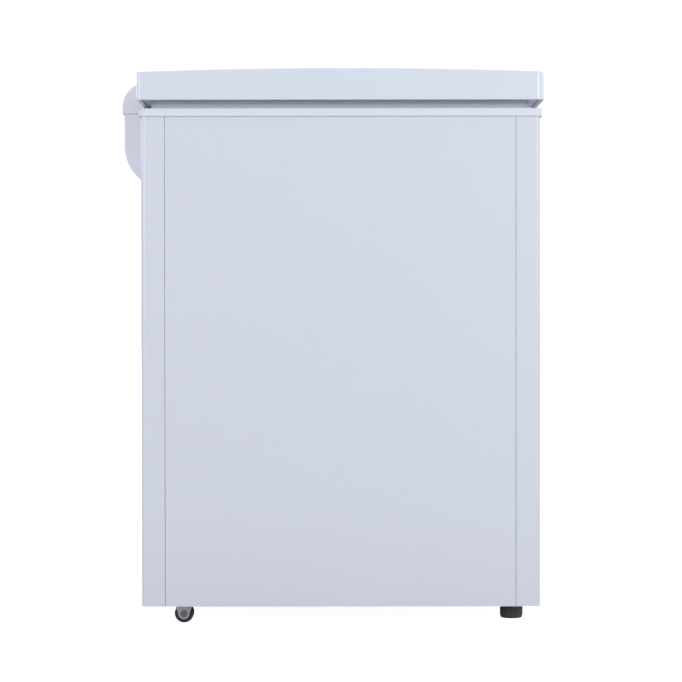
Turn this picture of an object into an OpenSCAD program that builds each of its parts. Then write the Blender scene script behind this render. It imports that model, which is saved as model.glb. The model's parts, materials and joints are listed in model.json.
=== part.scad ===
// Chest freezer: a foamed cabinet on two rear rollers and two front levelling feet, closed by a
// counterbalanced lid. The front is -Y, the hinges are at +Y and the compressor is at +X.

/* [Cabinet] */
// Width across the side panels
cab_w = 938; // [900:2:1000]
// Depth between the front and rear panels
cab_d = 610; // [600:2:640]
// Height of the panels' lower edge above the floor
base_z = 28; // [26:1:30]
// Height of the collar's top face
collar_z = 789; // [780:1:800]
// Outer radius of the cabinet's upright corners
corner_r = 7; // [5:1:9]
// Thickness of sheet metal
sheet_t = 1; // [0.8:0.1:1.2]
// Distance from the outside to the liner
wall_t = 60; // [58:1:64]
// Depth of the corner wraps of the front and rear panels
wrap_d = 37; // [30:1:44]
// Height of the machine compartment
machine_h = 240; // [235:5:260]
// Width of the machine compartment
machine_w = 193; // [190:1:200]

/* [Collar and liner] */
// Height of the collar's outer skirt
collar_h = 12; // [10:1:16]
// How far the collar stands out of the cabinet
collar_out = 3.5; // [3:0.5:5]
// Depth of the basket ledge below the collar's top
ledge_drop = 13.5; // [12:0.5:18]
// Distance from the outside to the ledge's step
step_s = 41; // [38:1:44]
// Thickness of the liner
liner_t = 1.2; // [1:0.1:1.6]
// Radius of the liner's upright corners
liner_r = 41; // [30:1:50]

/* [Lid] */
// Height of the lid skirt's lower edge
lid_z = 803; // [800:1:806]
// Height of the lid's top at its front and rear edges
lid_edge_z = 843; // [838:1:850]
// Rise of the lid's crown
crown_h = 7; // [3:1:10]
// How far the lid stands out of the cabinet
lid_out = 6; // [5:1:8]
// Lowest point of the lid's inner panel
bulge_z = 783; // [782:1:790]

/* [Hinges] */
// Distance of each hinge from the middle
hinge_x = 325; // [280:5:340]
// How far the hinge covers stand behind the cabinet
hinge_out = 40; // [40:1:44]
// Height of the hinge axis
axis_z = 783.5; // [783:0.5:784]
// Opening angle of the lid
lid_open = 85; // [60:1:85]

/* [Feet and rollers] */
// Radius of a rear roller
wheel_r = 14.5; // [13:0.5:15]
// Width of a rear roller
wheel_w = 20; // [16:1:22]
// Radius of a front foot
foot_r = 18; // [15:1:20]
// Height of a front foot's pad
foot_h = 20; // [16:1:22]

/* [Hidden] */
$fn = 48;
eps = 0.5; // how far a cutting shape runs past a face
touch = 0.3; // gap between parts that pass each other
run_fit = 0.05; // radial gap of a shaft in its bore

white = "#dde2ec";
steel = "#a9adb3";
black = "#2b2b2d";

// Cabinet outline. An inset s counts from the side panels' outer face towards the middle.
front_y = -(lid_out + cab_d + hinge_out) / 2 + lid_out;
rear_y = front_y + cab_d;
half_w = cab_w / 2;
panel_top = collar_z - 5;
plate_t = 2.5; // collar plastic
ledge_z = collar_z - ledge_drop;
flange_z = ledge_z - plate_t; // top of the liner
liner_z = 98; // underside of the liner's floor
hem = 12; // width of the inward hems
seam = 0.5; // gap at an upright seam
fold = 8; // depth of the folds behind a seam
pan_z = base_z + sheet_t;

// Machine compartment
machine_x = half_w - sheet_t - machine_w + sheet_t;
machine_top = pan_z + sheet_t + machine_h;
liner_step_x = machine_x - wall_t + sheet_t;
liner_step_z = machine_top + wall_t;

// Lid
crown_r = (pow(cab_d / 2 + lid_out, 2) + pow(crown_h, 2)) / (2 * crown_h);
crown_y = (front_y + rear_y) / 2;
lid_front_r = 13; // front upright corners
lid_rear_r = 6; // rear upright corners
lid_hem = 7;
inner_t = 2; // lid inner panel
bulge_s = 69; // inset of the inner panel's bulge
grip_w = 180; // handle insert
grip_d = 18;
grip_h = 13;

// Hinge, measured from its axis: u towards the front, v upwards
axis_y = rear_y + hinge_out - 11;
cover_t = 1.8;
upper_cover_w = 70;
lower_cover_w = 64;
cam_b = 6; // plunger lift per radian, and the cam's base radius
cam_h = 15; // plunger's contact height below the axis, at rest
pin_r = 3;
lobe_w = 24; // width of the arm's lobe
lobe_r = 5.7;
ear_t = 2.6;
ear_gap = lobe_w / 2 + 0.4;
plunger_r = 10;
plunger_top = axis_z - cam_h - 0.15;
spring_seat = 730;
spring_r = 6.7; // to the wire's centre
wire_r = 1.3;
spring_turns = 6;
screw_r = 2.4;
screw_head_r = 4.2;
arm_screw_at = [[-22, 812], [22, 812], [-22, 829], [22, 829]];
bracket_screw_at = [[-21, 708], [21, 708], [-21, 764], [21, 764]];

// Feet and rollers
wheel_x = half_w - 33;
wheel_y = rear_y - 63;
axle_r = 3.5;
foot_x = half_w - 78;
foot_y = front_y + 38;
stud_r = 4;

// Compressor
comp = [machine_x + 97, 78];
comp_r = 72;
comp_foot = [70, 55]; // mounting points from the compressor's centre
rail_z = pan_z + sheet_t;
rail_h = 10;
comp_z = rail_z + rail_h + 13;

// Controls, in the front panel before the machine compartment
panel_x = [machine_x + 25, machine_x + 161];
panel_z = [120, 170];
knob_x = panel_x[1] - 28;
knob_z = 145;
knob_r = 16;
lens_x = [panel_x[0] + 20, panel_x[0] + 38, panel_x[0] + 56];
lens_r = 3;

// Drain
drain = [-300, front_y + 107];
drain_z = 60;
drain_r = 11;

// Refrigerant loops
tube_r = 2.5;
condenser_levels = [for (i = [0:5]) 300 + 78 * i];
evaporator_levels = [for (i = [0:5]) 370 + 65 * i];
low_levels = [for (i = [0:2]) 140 + 65 * i];
gap_x = [80, 130]; // where a loop steps up to the next, on the rear wall

// Box between two corners
module block(a, b) { translate(a) cube(b - a); }

// Rectangle with two radii, rf at the front corners and rr at the rear ones
module round_rect(x0, y0, x1, y1, rf, rr) {
    mid = (y0 + y1) / 2;
    translate([x0 + rf, y0]) square([x1 - x0 - 2 * rf, mid - y0]);
    translate([x0 + rr, mid]) square([x1 - x0 - 2 * rr, y1 - mid]);
    translate([x0, y0 + rf]) square([x1 - x0, y1 - y0 - rf - rr]);
    for (x = [x0 + rf, x1 - rf]) translate([x, y0 + rf]) circle(rf);
    for (x = [x0 + rr, x1 - rr]) translate([x, y1 - rr]) circle(rr);
}

// The cabinet's outline at inset s, between two heights
module tower(s, r, z0, z1, rr = 0) {
    translate([0, 0, z0]) linear_extrude(z1 - z0)
        round_rect(-half_w + s, front_y + s, half_w - s, rear_y - s, r, rr > 0 ? rr : r);
}

// A wall between insets s0 and s1
module ring(s0, r0, s1, r1, z0, z1) {
    difference() {
        tower(s0, r0, z0, z1);
        tower(s1, r1, z0 - eps, z1 + eps);
    }
}

module rod_x(p, r, length) { translate(p) rotate([0, 90, 0]) cylinder(r = r, h = length); }
module rod_y(p, r, length) { translate(p) rotate([-90, 0, 0]) cylinder(r = r, h = length); }

// An outline in the Y-Z plane, extruded along X and centred on x
module along_x(x, w) { translate([x - w / 2, 0, 0]) rotate([90, 0, 90]) linear_extrude(w) children(); }

function unit(v) = v / norm(v);
function carried(n, t) = unit(n - (n * t) * t);
function tangents(p) = [for (i = [0:len(p) - 1])
    unit(p[min(i + 1, len(p) - 1)] - p[max(i - 1, 0)])];
function normals(t, i = 0, n = [0.36, 0.48, 0.8], done = []) =
    i == len(t) ? done : normals(t, i + 1, carried(n, t[i]), concat(done, [carried(n, t[i])]));

// Points of a route with its corners rounded, on n steps each
function rounded(p, d, n = 4) = [for (i = [0:len(p) - 1])
    each i == 0 || i == len(p) - 1 ? [p[i]] :
        let (a = p[i] + d * unit(p[i - 1] - p[i]), b = p[i] + d * unit(p[i + 1] - p[i]))
        [for (k = [0:n]) let (f = k / n) pow(1 - f, 2) * a + 2 * f * (1 - f) * p[i] + f * f * b]];

// A round tube along a route
module tube(p, r, sides = 8) {
    t = tangents(p);
    n = normals(t);
    last = len(p) - 1;
    points = [for (i = [0:last]) let (m = cross(t[i], n[i])) each
        [for (k = [0:sides - 1]) p[i] + r * (cos(360 * k / sides) * n[i] + sin(360 * k / sides) * m)]];
    walls = [for (i = [0:last - 1], k = [0:sides - 1]) let (j = (k + 1) % sides)
        [i * sides + k, (i + 1) * sides + k, (i + 1) * sides + j, i * sides + j]];
    ends = [[for (k = [0:sides - 1]) k], [for (k = [sides - 1:-1:0]) last * sides + k]];
    polyhedron(points, concat(walls, ends), convexity = 10);
}

// One turn around a rectangle with round corners, from gap_x[1] to gap_x[0] on its rear side
function arc(c, r, a, z) = let (step = 22.5, out = r / cos(step / 2)) [for (k = [0:4])
    [c[0] + out * cos(a - step * k), c[1] + out * sin(a - step * k), z]];
function turn(x0, y0, x1, y1, r, z) = concat([[gap_x[1], y1, z]],
    arc([x1 - r, y1 - r], r, 90, z), arc([x1 - r, y0 + r], r, 0, z),
    arc([x0 + r, y0 + r], r, -90, z), arc([x0 + r, y1 - r], r, -180, z), [[gap_x[0], y1, z]]);
function coil(x0, x1, s, r, levels) = [for (z = levels)
    each turn(x0, front_y + s, x1, rear_y - s, r, z)];

// Sheet panels

// Where the condenser tube crosses the folds behind the seams
module fold_notches() {
    for (z = condenser_levels)
        ring(sheet_t, corner_r - sheet_t, sheet_t + fold + 1, 1, z - 4, z + 4);
}

// The upright sheets between two depths, with a fold behind each seam and a hem below
module wrap(y0, y1, fold_y, hem_y) {
    color(white) union() {
        intersection() {
            ring(0, corner_r, sheet_t, corner_r - sheet_t, base_z, panel_top);
            block([-half_w - 1, y0, base_z], [half_w + 1, y1, panel_top]);
        }
        difference() {
            for (side = [-1, 1])
                translate([side * (half_w - sheet_t - fold / 2), fold_y, (base_z + panel_top) / 2])
                    cube([fold, sheet_t, panel_top - base_z], center = true);
            fold_notches();
        }
        translate([0, hem_y, base_z + sheet_t / 2])
            cube([cab_w - 2 * corner_r, hem, sheet_t], center = true);
    }
}

module front_panel() {
    y1 = front_y + wrap_d;
    difference() {
        wrap(front_y - 1, y1, y1 - sheet_t / 2, front_y + sheet_t + hem / 2);
        block([panel_x[0] + 6, front_y - 1, panel_z[0] + 6], [panel_x[1] - 6, front_y + 2, panel_z[1] - 6]);
        rod_y([drain[0], front_y - 1, drain_z], 21, 3);
    }
}

module rear_panel() {
    y0 = rear_y - wrap_d + 1;
    difference() {
        wrap(y0, rear_y + 1, y0 + sheet_t / 2, rear_y - sheet_t - hem / 2);
        for (side = [-1, 1], p = bracket_screw_at)
            rod_y([side * hinge_x + p[0], rear_y - 2, p[1]], screw_r, 4);
        rod_y([machine_x + 25, rear_y - 2, drain_z], 9, 4);
    }
}

module side_sheet() {
    y0 = front_y + wrap_d + seam;
    y1 = rear_y - wrap_d + 1 - seam;
    color(white) union() {
        block([-half_w, y0, base_z], [-half_w + sheet_t, y1, panel_top]);
        difference() {
            for (y = [y0, y1 - sheet_t])
                block([-half_w, y, base_z], [-half_w + sheet_t + fold, y + sheet_t, panel_top]);
            fold_notches();
        }
        block([-half_w, y0, base_z], [-half_w + sheet_t + hem, y1, base_z + sheet_t]);
    }
}

module left_side_panel() { side_sheet(); }

grille_y = [20, 250];
grille_z = [62, 230];
module right_side_panel() {
    difference() {
        mirror([1, 0, 0]) side_sheet();
        block([half_w - 2, grille_y[0] + 10, grille_z[0] + 10],
            [half_w + 1, grille_y[1] - 10, grille_z[1] - 10]);
    }
}

// Places of the folds behind the four seams, for what fits around them
module seam_folds() {
    for (side = [-1, 1], y = [front_y + wrap_d - sheet_t, rear_y - wrap_d + 1 - seam - sheet_t])
        translate([side * (half_w - sheet_t - fold / 2), y + sheet_t + seam / 2, 400])
            cube([fold + 0.02, 2 * sheet_t + seam + 0.02, 800], center = true);
}

module base_pan() {
    s = half_w - sheet_t;
    color(steel) difference() {
        block([-s, front_y + sheet_t, pan_z], [s, rear_y - sheet_t, pan_z + sheet_t]);
        block([machine_x + 15, -230, pan_z - 1], [s - 13, 180, pan_z + 2]);
        for (side = [-1, 1]) {
            translate([side * foot_x, foot_y, pan_z - 1]) cylinder(r = stud_r + 1, h = 4);
            translate([side * wheel_x, wheel_y, pan_z]) cube([wheel_w + 4, 34, 4], center = true);
        }
        for (side = [-1, 1], y = [front_y, rear_y])
            translate([side * half_w, y, pan_z]) cube([2 * corner_r, 2 * corner_r, 4], center = true);
        seam_folds();
    }
}

module machine_bulkhead() {
    y0 = front_y + sheet_t;
    y1 = rear_y - sheet_t;
    z0 = pan_z + sheet_t;
    s = half_w - sheet_t;
    color(steel) difference() {
        union() {
            block([machine_x, y0, z0], [machine_x + sheet_t, y1, machine_top]);
            block([machine_x, y0, machine_top - sheet_t], [s, y1, machine_top]);
        }
        for (y = [front_y, rear_y])
            translate([half_w, y, machine_top]) cube([2 * corner_r, 2 * corner_r, 4], center = true);
        seam_folds();
        for (p = pipe_holes) translate([p[0], p[1], machine_top - 2]) cylinder(r = 6, h = 4);
    }
}

// Liner, foam and collar

// The tub: full width above step_z, and as far as step_x below it
module liner_solid(s, r, floor_z, step_x, step_z, top) {
    tower(s, r, step_z, top);
    translate([0, 0, floor_z]) linear_extrude(step_z - floor_z)
        round_rect(s - half_w, front_y + s, step_x, rear_y - s, r, r);
}

module liner_outside(top) {
    liner_solid(wall_t, liner_r, liner_z, liner_step_x, liner_step_z, top);
}

module inner_liner() {
    color("#d3d6da") difference() {
        union() {
            liner_outside(flange_z);
            tower(wall_t - 10, liner_r + 10, flange_z - liner_t, flange_z);
        }
        liner_solid(wall_t + liner_t, liner_r - liner_t, liner_z + liner_t,
            liner_step_x - liner_t, liner_step_z + liner_t, flange_z + 1);
        translate([drain[0], drain[1], liner_z - 1]) cylinder(r = drain_r, h = 4);
    }
}

module groove(x0, x1, s, r, z) {
    h = 2 * tube_r + 1;
    w = tube_r + 1; // half width
    translate([0, 0, z - h / 2]) linear_extrude(h) difference() {
        round_rect(x0 - w, front_y + s - w, x1 + w, rear_y - s + w, r + w, r + w);
        round_rect(x0 + w, front_y + s + w, x1 - w, rear_y - s - w, r - w, r - w);
    }
}

cond_s = sheet_t + tube_r + 0.2; // condenser's centre line
cond_r = 9;
evap_s = wall_t - tube_r - 0.2; // evaporator's centre line
evap_r = liner_r + tube_r;
evap_x1 = liner_step_x + tube_r + 0.2;

module tube_grooves() {
    edge = half_w - cond_s;
    for (z = condenser_levels) groove(-edge, edge, cond_s, cond_r, z);
    block([gap_x[0] - 6, rear_y - cond_s - tube_r - 1, condenser_levels[0]],
        [gap_x[1] + 6, rear_y - sheet_t, condenser_levels[5]]);
    for (z = evaporator_levels) groove(evap_s - half_w, half_w - evap_s, evap_s, evap_r, z);
    for (z = low_levels) groove(evap_s - half_w, evap_x1, evap_s, evap_r, z);
    block([gap_x[0] - 6, rear_y - wall_t - 0.5, low_levels[0]],
        [gap_x[1] + 6, rear_y - evap_s + tube_r + 1, evaporator_levels[5]]);
}

module cabinet_foam() {
    outer_r = corner_r - sheet_t;
    color("#e8dfb8") difference() {
        tower(sheet_t, outer_r, pan_z + sheet_t, collar_z - plate_t);
        liner_outside(collar_z);
        tower(wall_t - 10, liner_r + 10, flange_z - liner_t, collar_z);
        tower(step_s - plate_t, liner_r + 22, flange_z, collar_z);
        block([machine_x, front_y, 0], [half_w, rear_y, machine_top]);
        seam_folds();
        tube_grooves();
        translate([drain[0], drain[1], drain_z]) cylinder(r = drain_r, h = 60);
        translate([drain[0], drain[1], drain_z]) sphere(drain_r);
        rod_y([drain[0], front_y, drain_z], drain_r, 107);
        rod_y([drain[0], front_y, drain_z], 21, 18);
        translate([-foot_x, foot_y, 0]) cylinder(r = 26, h = 56);
        translate([-wheel_x, wheel_y, pan_z]) cube([wheel_w + 4, 34, 12], center = true);
        for (side = [-1, 1], p = bracket_screw_at)
            rod_y([side * hinge_x + p[0], rear_y - 14, p[1]], screw_r, 20);
    }
}

module top_trim_frame() {
    z0 = ledge_z - plate_t;
    out_r = corner_r + collar_out;
    color(white) union() {
        ring(-collar_out, out_r, step_s, liner_r + 20, collar_z - plate_t, collar_z);
        ring(-collar_out, out_r, -touch, corner_r + touch, collar_z - collar_h, collar_z - plate_t);
        ring(step_s - plate_t, liner_r + 22, step_s, liner_r + 20, z0, collar_z - plate_t);
        ring(step_s, liner_r + 20, wall_t + 3, liner_r - 3, z0, ledge_z);
        ring(wall_t + liner_t + touch, liner_r - 1.5, wall_t + 3, liner_r - 3, z0 - 6, z0);
    }
}

module condenser_tube() {
    edge = half_w - cond_s;
    color("#b06a3c") tube(coil(-edge, edge, cond_s, cond_r, condenser_levels), tube_r, 6);
}

module evaporator_tube() {
    color("#c9cbce") tube(concat(
        coil(evap_s - half_w, evap_x1, evap_s, evap_r, low_levels),
        coil(evap_s - half_w, half_w - evap_s, evap_s, evap_r, evaporator_levels)), tube_r, 6);
}

// Refrigeration unit

module compressor_shell() {
    h = 162;
    band = 74;
    color(black) translate([comp[0], comp[1], comp_z]) rotate_extrude($fn = 96) {
        square([comp_r - 22, h]);
        translate([0, 22]) square([comp_r, h - 44]);
        for (y = [22, h - 22]) translate([comp_r - 22, y]) circle(22);
        translate([0, band]) square([comp_r + 3, 6]);
    }
}

module compressor_plate() {
    color(black) difference() {
        translate([comp[0], comp[1], comp_z - 1.5]) cube([170, 140, 3], center = true);
        for (x = [-1, 1], y = [-1, 1])
            translate([comp[0] + x * comp_foot[0], comp[1] + y * comp_foot[1], comp_z - 5])
                cylinder(r = 6.5, h = 8);
    }
}

// Puts its children at the compressor's four feet, on top of the rails
module at_feet() {
    for (x = [-1, 1], y = [-1, 1])
        translate([comp[0] + x * comp_foot[0], comp[1] + y * comp_foot[1], rail_z + rail_h])
            children();
}

module compressor_grommets() {
    color("#3a3a3a") at_feet() difference() {
        union() {
            cylinder(r = 10, h = 10);
            cylinder(r = 6.5, h = 17);
            translate([0, 0, 13]) cylinder(r = 9, h = 4);
        }
        translate([0, 0, -1]) cylinder(r = 4, h = 19);
    }
}

module compressor_bolts() {
    color(steel) at_feet() {
        translate([0, 0, -6]) cylinder(r = 4, h = 26);
        translate([0, 0, 17]) cylinder(r = 7, h = 6, $fn = 6);
        translate([0, 0, -7]) cylinder(r = 6.5, h = 5, $fn = 6);
    }
}

module compressor_rails() {
    color(steel) for (y = [-1, 1]) difference() {
        translate([0, comp[1] + y * comp_foot[1], 0])
            block([machine_x + 1.5, -14, rail_z], [half_w - 2.5, 14, rail_z + rail_h]);
        translate([0, comp[1] + y * comp_foot[1], 0])
            block([machine_x, -12, rail_z - 1], [half_w, 12, rail_z + rail_h - 2]);
        at_feet() translate([0, 0, -4]) cylinder(r = 4, h = 8);
    }
}

relay_y = comp[1] - comp_r - 32; // front of the relay cover

module relay_cover() {
    color("#303236") difference() {
        block([comp[0] - 27, relay_y, comp_z + 14], [comp[0] + 27, relay_y + 50, comp_z + 66]);
        translate([comp[0], comp[1], comp_z]) cylinder(r = comp_r + 0.2, h = 100, $fn = 96);
    }
}

drier_at = [machine_x + 22, -60];
drier_z = [100, 180];
pipe_holes = [drier_at, [machine_x + 150, -20], [machine_x + 97, -40]];

module filter_drier() {
    color("#b87040") translate([drier_at[0], drier_at[1], 0]) rotate_extrude() {
        translate([0, drier_z[0]]) polygon([[0, -8], [3.2, -8], [9, 0], [9, 80], [3.2, 88], [0, 88]]);
    }
}

module refrigerant_pipes() {
    up = machine_top + 20 - 24;
    side = comp[0] + comp_r;
    color("#b87040") {
        tube([[drier_at[0], drier_at[1], drier_z[1] + 8.3], [drier_at[0], drier_at[1], up]], tube_r);
        tube(rounded([[drier_at[0], drier_at[1], drier_z[0] - 8.3], [drier_at[0], drier_at[1], 70],
            [drier_at[0], -120, 70], [machine_x + 97, -120, 70], [machine_x + 97, -120, 150],
            [machine_x + 97, -40, 200], [machine_x + 97, -40, up]], 14), tube_r);
        tube(rounded([[side + 0.5, comp[1], 140], [side + 14, comp[1], 140], [side + 14, -20, 150],
            [machine_x + 150, -20, 200], [machine_x + 150, -20, up]], 7), 3);
    }
}

module side_grille() {
    rows = 11;
    pitch = (grille_z[1] - grille_z[0] - 28) / rows;
    color("#c9ccd2") difference() {
        block([half_w, grille_y[0], grille_z[0]], [half_w + 2, grille_y[1], grille_z[1]]);
        for (i = [0:rows - 1], j = [0, 1])
            translate([half_w - 1, grille_y[0] + 16 + j * 102, grille_z[0] + 14 + i * pitch])
                cube([4, 96, pitch * 0.5]);
    }
}

// Controls

module control_bezel() {
    y0 = front_y - 2;
    color("#e9ecf0") difference() {
        union() {
            block([panel_x[0], y0, panel_z[0]], [panel_x[1], front_y, panel_z[1]]);
            block([panel_x[0] + 6.2, front_y, panel_z[0] + 6.2],
                [panel_x[1] - 6.2, front_y + 10, panel_z[1] - 6.2]);
        }
        rod_y([knob_x, y0 - 1, knob_z], knob_r + 2, 9);
        rod_y([knob_x, y0, knob_z], 5, 20);
        for (x = lens_x) rod_y([x, y0 - 1, knob_z], lens_r, 20);
    }
}

module indicator_lenses() {
    colours = ["#3fae4c", "#e0a030", "#c83a30"];
    for (i = [0:2]) color(colours[i]) rod_y([lens_x[i], front_y - 2.6, knob_z], lens_r, 12.6);
}

module thermostat_body() {
    y0 = front_y + 10.5;
    color("#b9bcc2") difference() {
        block([knob_x - 17, y0, knob_z - 17], [knob_x + 17, y0 + 28, knob_z + 17]);
        rod_y([knob_x, y0 - 1, knob_z], pin_r + run_fit, 13);
    }
}

module thermostat_knob() {
    y0 = front_y - 2 - 3;
    color("#f1f2f4") union() {
        rod_y([knob_x, y0, knob_z], knob_r, 10.6);
        rod_y([knob_x, y0 + 10, knob_z], pin_r, 16);
    }
}

module wiring_harness() {
    x = machine_x + 7;
    y = front_y + 25;
    color(black) {
        tube(rounded([[machine_x + 25, rear_y - 14, drain_z], [machine_x + 25, rear_y - 40, drain_z],
            [x, rear_y - 60, drain_z], [x, -230, drain_z], [knob_x, -262, drain_z],
            [knob_x, y, drain_z + 20], [knob_x, y, knob_z - 17.5]], 12), 3);
        tube(rounded([[x + 4, -45, drain_z], [comp[0] - 20, -45, drain_z + 6],
            [comp[0] - 20, -45, comp_z + 40], [comp[0] - 20, relay_y - 0.3, comp_z + 40]], 8), 2.5);
    }
}

// Drain

module drain_pipe() {
    r = drain_r - 0.1;
    bore = 8;
    y0 = front_y + 18.2;
    color("#d8dade") difference() {
        union() {
            translate([drain[0], drain[1], drain_z]) cylinder(r = r, h = liner_z - drain_z);
            translate([drain[0], drain[1], drain_z]) sphere(r);
            rod_y([drain[0], y0, drain_z], r, drain[1] - y0);
        }
        translate([drain[0], drain[1], drain_z]) cylinder(r = bore, h = 60);
        translate([drain[0], drain[1], drain_z]) sphere(bore);
        rod_y([drain[0], y0 - 1, drain_z], bore, drain[1] - y0 + 1);
    }
}

module drain_outlet() {
    p = [drain[0], front_y, drain_z];
    color("#d8dade") difference() {
        union() {
            difference() {
                union() {
                    rod_y(p - [0, 2, 0], 24, 2);
                    rod_y(p, 20.8, 18);
                }
                rod_y(p - [0, 3, 0], 18.5, 19);
            }
            rod_y(p + [0, 5, 0], 10, 12);
        }
        rod_y(p - [0, 3, 0], 8, 22);
    }
}

module drain_cap() {
    p = [drain[0], front_y, drain_z];
    color("#5b6168") difference() {
        union() {
            rod_y(p, 12.5, 13);
            rod_y(p - [0, 1, 0], 14, 4);
        }
        rod_y(p + [0, 3.5, 0], 10.3, 10);
    }
}

module drain_plug() {
    z = liner_z + liner_t + 0.2;
    color("#5b6168") translate([drain[0], drain[1], z]) union() {
        translate([0, 0, -14]) cylinder(r = 7.5, h = 14);
        cylinder(r = 15, h = 4);
        translate([0, 0, -1.4]) cylinder(r = drain_r - 0.4, h = 1.5);
        translate([-8, -1.5, 3]) cube([16, 3, 13]);
    }
}

module cord_gland() {
    p = [machine_x + 25, rear_y, drain_z];
    color(black) difference() {
        union() {
            rod_y(p, 14, 4);
            rod_y(p - [0, 13, 0], 9, 20);
        }
        rod_y(p - [0, 14, 0], 4, 24);
    }
}

// Hinges. Each is drawn about x = 0 and then put on its side.

module on_sides(side) { translate([side * hinge_x, 0, 0]) children(); }

module bracket() {
    back = rear_y - axis_y;
    ear_y = axis_y;
    color(steel) difference() {
        union() {
            block([-28, rear_y, 700], [28, rear_y + 2.5, 775]);
            for (x = [-1, 1]) along_x(x * (ear_gap + ear_t / 2), ear_t) translate([ear_y, axis_z]) {
                circle(lobe_r + 0.2);
                polygon([[back + 2.5, -83.5], [back + 2.5, -9], [-3, 4.9], [5, -3.1], [5.9, -20],
                    [0, -60], [-10, -83.5]]);
            }
            block([-ear_gap, rear_y + 2.5, spring_seat - 3], [ear_gap, axis_y + 3, spring_seat]);
            translate([0, axis_y - cam_b, spring_seat - 1]) cylinder(r = 4.9, h = 7);
        }
        rod_x([-20, axis_y, axis_z], pin_r + run_fit, 40);
        for (p = bracket_screw_at) rod_y([p[0], rear_y - 1, p[1]], screw_r, 5);
    }
}

module left_hinge_bracket() { on_sides(-1) bracket(); }
module right_hinge_bracket() { on_sides(1) bracket(); }

module hinge_pins() {
    reach = ear_gap + ear_t;
    color("#c9ccd0") for (side = [-1, 1]) on_sides(side) {
        rod_x([-reach - 2, axis_y, axis_z], pin_r, 2 * reach + 4);
        for (x = [-reach - 2, reach + 0.2]) rod_x([x, axis_y, axis_z], 4.8, 1.6);
    }
}

module spring() {
    steps = 14;
    top = plunger_top - 3;
    rise = top - spring_seat - 2 * wire_r - 0.4;
    p = [for (i = [0:spring_turns * steps]) let (a = 360 * i / steps)
        [spring_r * cos(a), axis_y - cam_b + spring_r * sin(a),
            spring_seat + wire_r + 0.2 + rise * i / (spring_turns * steps)]];
    color("#8d9198") tube(p, wire_r, 6);
}

module left_hinge_spring() { on_sides(-1) spring(); }
module right_hinge_spring() { on_sides(1) spring(); }

module plunger() {
    color("#e4e4e0") translate([0, axis_y - cam_b, plunger_top - 22]) difference() {
        cylinder(r = plunger_r, h = 22);
        translate([0, 0, -1]) cylinder(r = 8.5, h = 20);
    }
}

module left_plunger() { on_sides(-1) plunger(); }
module right_plunger() { on_sides(1) plunger(); }

// The cam's outline is the involute that lifts a flat plunger by cam_b for each radian
function cam_point(a) = let (h = cam_h - cam_b * a * PI / 180)
    [-(cam_b * cos(a) - h * sin(a)), -cam_b * sin(a) - h * cos(a)];

module arm() {
    plate_y = rear_y + lid_out - axis_y;
    cam = [for (a = [0:5:85]) cam_point(a)];
    color(steel) difference() {
        union() {
            along_x(0, 54) translate([axis_y, axis_z])
                translate([plate_y, 22.5]) square([3, 30]);
            along_x(0, lobe_w) translate([axis_y, axis_z]) {
                circle(lobe_r);
                polygon(concat(cam, [[4.2, 0], [0, lobe_r], [-9.5, lobe_r], [-9.5, 46],
                    [plate_y + 2, 52.5], [plate_y + 2, 22.5], [-20, 2], [-10, -cam_h]]));
            }
        }
        rod_x([-20, axis_y, axis_z], pin_r + run_fit, 40);
        for (p = arm_screw_at) rod_y([p[0], rear_y + lid_out - 1, p[1]], screw_r, 5);
    }
}

module left_hinge_arm() { on_sides(-1) arm(); }
module right_hinge_arm() { on_sides(1) arm(); }

module screw(p, length) {
    rod_y(p - [0, length, 0], screw_r, length);
    rod_y(p, screw_head_r, 2.6);
}

module arm_screws() {
    color("#c9ccd0") for (side = [-1, 1], p = arm_screw_at)
        screw([side * hinge_x + p[0], rear_y + lid_out + 3, p[1]], 14);
}

module bracket_screws() {
    color("#c9ccd0") for (side = [-1, 1], p = bracket_screw_at)
        screw([side * hinge_x + p[0], rear_y + 2.5, p[1]], 14);
}

// A quarter-round hood of radius r, standing on a straight wall down to z0
module hood_outline(y0, r, centre_z, z0) {
    intersection() {
        translate([rear_y, centre_z]) circle(r, $fn = 96);
        translate([y0, centre_z]) square([100, 100]);
    }
    translate([y0, z0]) square([rear_y + r - y0, centre_z - z0]);
}

module upper_cover() {
    split_z = axis_z + 9.5;
    centre_z = lid_edge_z - hinge_out;
    y0 = rear_y + lid_out;
    color(white) difference() {
        along_x(0, upper_cover_w) hood_outline(y0, hinge_out, centre_z, split_z);
        along_x(0, upper_cover_w - 2 * cover_t)
            hood_outline(y0 - 1, hinge_out - cover_t, centre_z, split_z - 1);
    }
}

module left_upper_hinge_cover() { on_sides(-1) upper_cover(); }
module right_upper_hinge_cover() { on_sides(1) upper_cover(); }

// The lower cover is straight down to knee_z and then curves in to the cabinet
module lower_outline(depth, r, z0, z1) {
    knee_z = 743;
    intersection() {
        translate([rear_y, z0]) square([depth, z1 - z0]);
        union() {
            translate([rear_y, knee_z]) square([depth, z1 - knee_z]);
            translate([rear_y + depth - r, knee_z]) circle(r, $fn = 96);
        }
    }
}

module lower_cover() {
    depth = hinge_out - 3;
    top = axis_z + 8;
    color(white) difference() {
        along_x(0, lower_cover_w) lower_outline(depth, 70, 682, top);
        along_x(0, lower_cover_w - 2 * cover_t)
            lower_outline(depth - cover_t, 70 - cover_t, 682, top + 1);
        block([-50, rear_y - 1, collar_z - collar_h - touch], [50, rear_y + collar_out + touch, 800]);
    }
}

module left_lower_hinge_cover() { on_sides(-1) lower_cover(); }
module right_lower_hinge_cover() { on_sides(1) lower_cover(); }

// Lid

// The space under the crown, inset t from the lid's skirt and top
module lid_space(t, z0) {
    intersection() {
        tower(t - lid_out, lid_front_r - t, z0, lid_edge_z + crown_h + 1, lid_rear_r - t);
        translate([-500, crown_y, lid_edge_z + crown_h - crown_r]) rotate([0, 90, 0])
            cylinder(r = crown_r - t, h = 1000, $fn = 1440);
    }
}

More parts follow.
